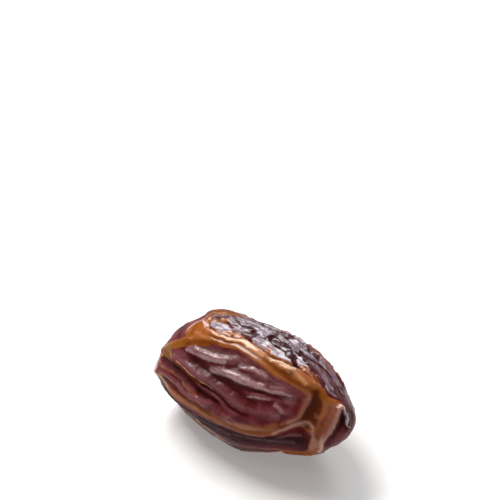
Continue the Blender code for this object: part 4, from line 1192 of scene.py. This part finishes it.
# A softbox: where it stands from the fruit, its width and height (metres), its brightness and its colour
Softbox = namedtuple("Softbox", "name place width height brightness colour")
SOFTBOXES = (
    Softbox("ceiling", (-0.05, 0.10, 0.80), 1.30, 1.30, 0.28, (1.0, 1.0, 1.0)),
    Softbox("overhead", (-0.26, 0.05, 0.45), 0.30, 0.18, 14.0, (1.0, 0.99, 0.97)),
    Softbox("window_behind", (-0.27, 0.42, 0.27), 0.24, 0.14, 10.0, (0.94, 0.97, 1.0)),
)

# The camera, as the photograph was taken: lens and sensor in millimetres, places in the frame in pixels
VIEW_AZIMUTH = radians(38.5)
VIEW_ELEVATION = radians(42.0)
VIEW_DISTANCE = 0.340
LENS = 120.0
SENSOR = 36.0
CLIP_START = 0.01
FRAME_PIXELS = 500.0
DATE_IN_FRAME = (256.0, 386.4)


def make_table():
    """A plain pale table top."""
    shape = bmesh.new()
    bmesh.ops.create_grid(shape, x_segments=1, y_segments=1, size=TABLE_SIZE / 2)
    mesh = bpy.data.meshes.new("table")
    shape.to_mesh(mesh)
    shape.free()
    white = Finish("table_white")
    white.set(Base_Color=TABLE_WHITE, Roughness=TABLE_ROUGHNESS)
    white.set(Emission_Color=TABLE_WHITE, Emission_Strength=TABLE_GLOW)
    mesh.materials.append(white.material)
    table = bpy.data.objects.new("table", mesh)
    bpy.context.scene.collection.objects.link(table)


def make_light():
    """The room's faint light and the softboxes, each facing the fruit."""
    room = bpy.data.worlds.new("room")
    room.use_nodes = True
    room.node_tree.nodes["Background"].inputs["Color"].default_value = ROOM_WHITE
    room.node_tree.nodes["Background"].inputs["Strength"].default_value = ROOM_LIGHT
    bpy.context.scene.world = room
    for box in SOFTBOXES:
        light = bpy.data.lights.new(box.name, "AREA")
        light.shape = "RECTANGLE"
        light.size = box.width
        light.size_y = box.height
        light.energy = pi * box.brightness * box.width * box.height
        light.color = box.colour
        lamp = bpy.data.objects.new(box.name, light)
        facing = Vector(box.place).to_track_quat("Z", "Y").to_matrix().to_4x4()
        lamp.matrix_world = Matrix.Translation(box.place) @ facing
        bpy.context.scene.collection.objects.link(lamp)


def make_camera():
    """Looks past the fruit, so that it lies in the frame where the photograph has it."""
    lens_pixels = FRAME_PIXELS * LENS / SENSOR
    right_of_axis = atan((DATE_IN_FRAME[0] - FRAME_PIXELS / 2) / lens_pixels)
    below_axis = atan((DATE_IN_FRAME[1] - FRAME_PIXELS / 2) / lens_pixels)
    from_date = Vector(
        (
            sin(VIEW_AZIMUTH) * cos(VIEW_ELEVATION),
            -cos(VIEW_AZIMUTH) * cos(VIEW_ELEVATION),
            sin(VIEW_ELEVATION),
        )
    )
    tilt = VIEW_ELEVATION - below_axis
    turn = VIEW_AZIMUTH + right_of_axis / cos(tilt)
    backwards = Vector((sin(turn) * cos(tilt), -cos(turn) * cos(tilt), sin(tilt)))
    data = bpy.data.cameras.new("camera")
    data.lens = LENS
    data.sensor_width = SENSOR
    data.clip_start = CLIP_START
    camera = bpy.data.objects.new("camera", data)
    camera.location = FORM_MIDDLE + from_date * VIEW_DISTANCE
    camera.rotation_mode = "QUATERNION"
    camera.rotation_quaternion = backwards.to_track_quat("Z", "Y")
    bpy.context.scene.collection.objects.link(camera)
    bpy.context.scene.camera = camera


make_date()
make_table()
make_light()
make_camera()
bpy.context.scene.view_settings.view_transform = "Standard"
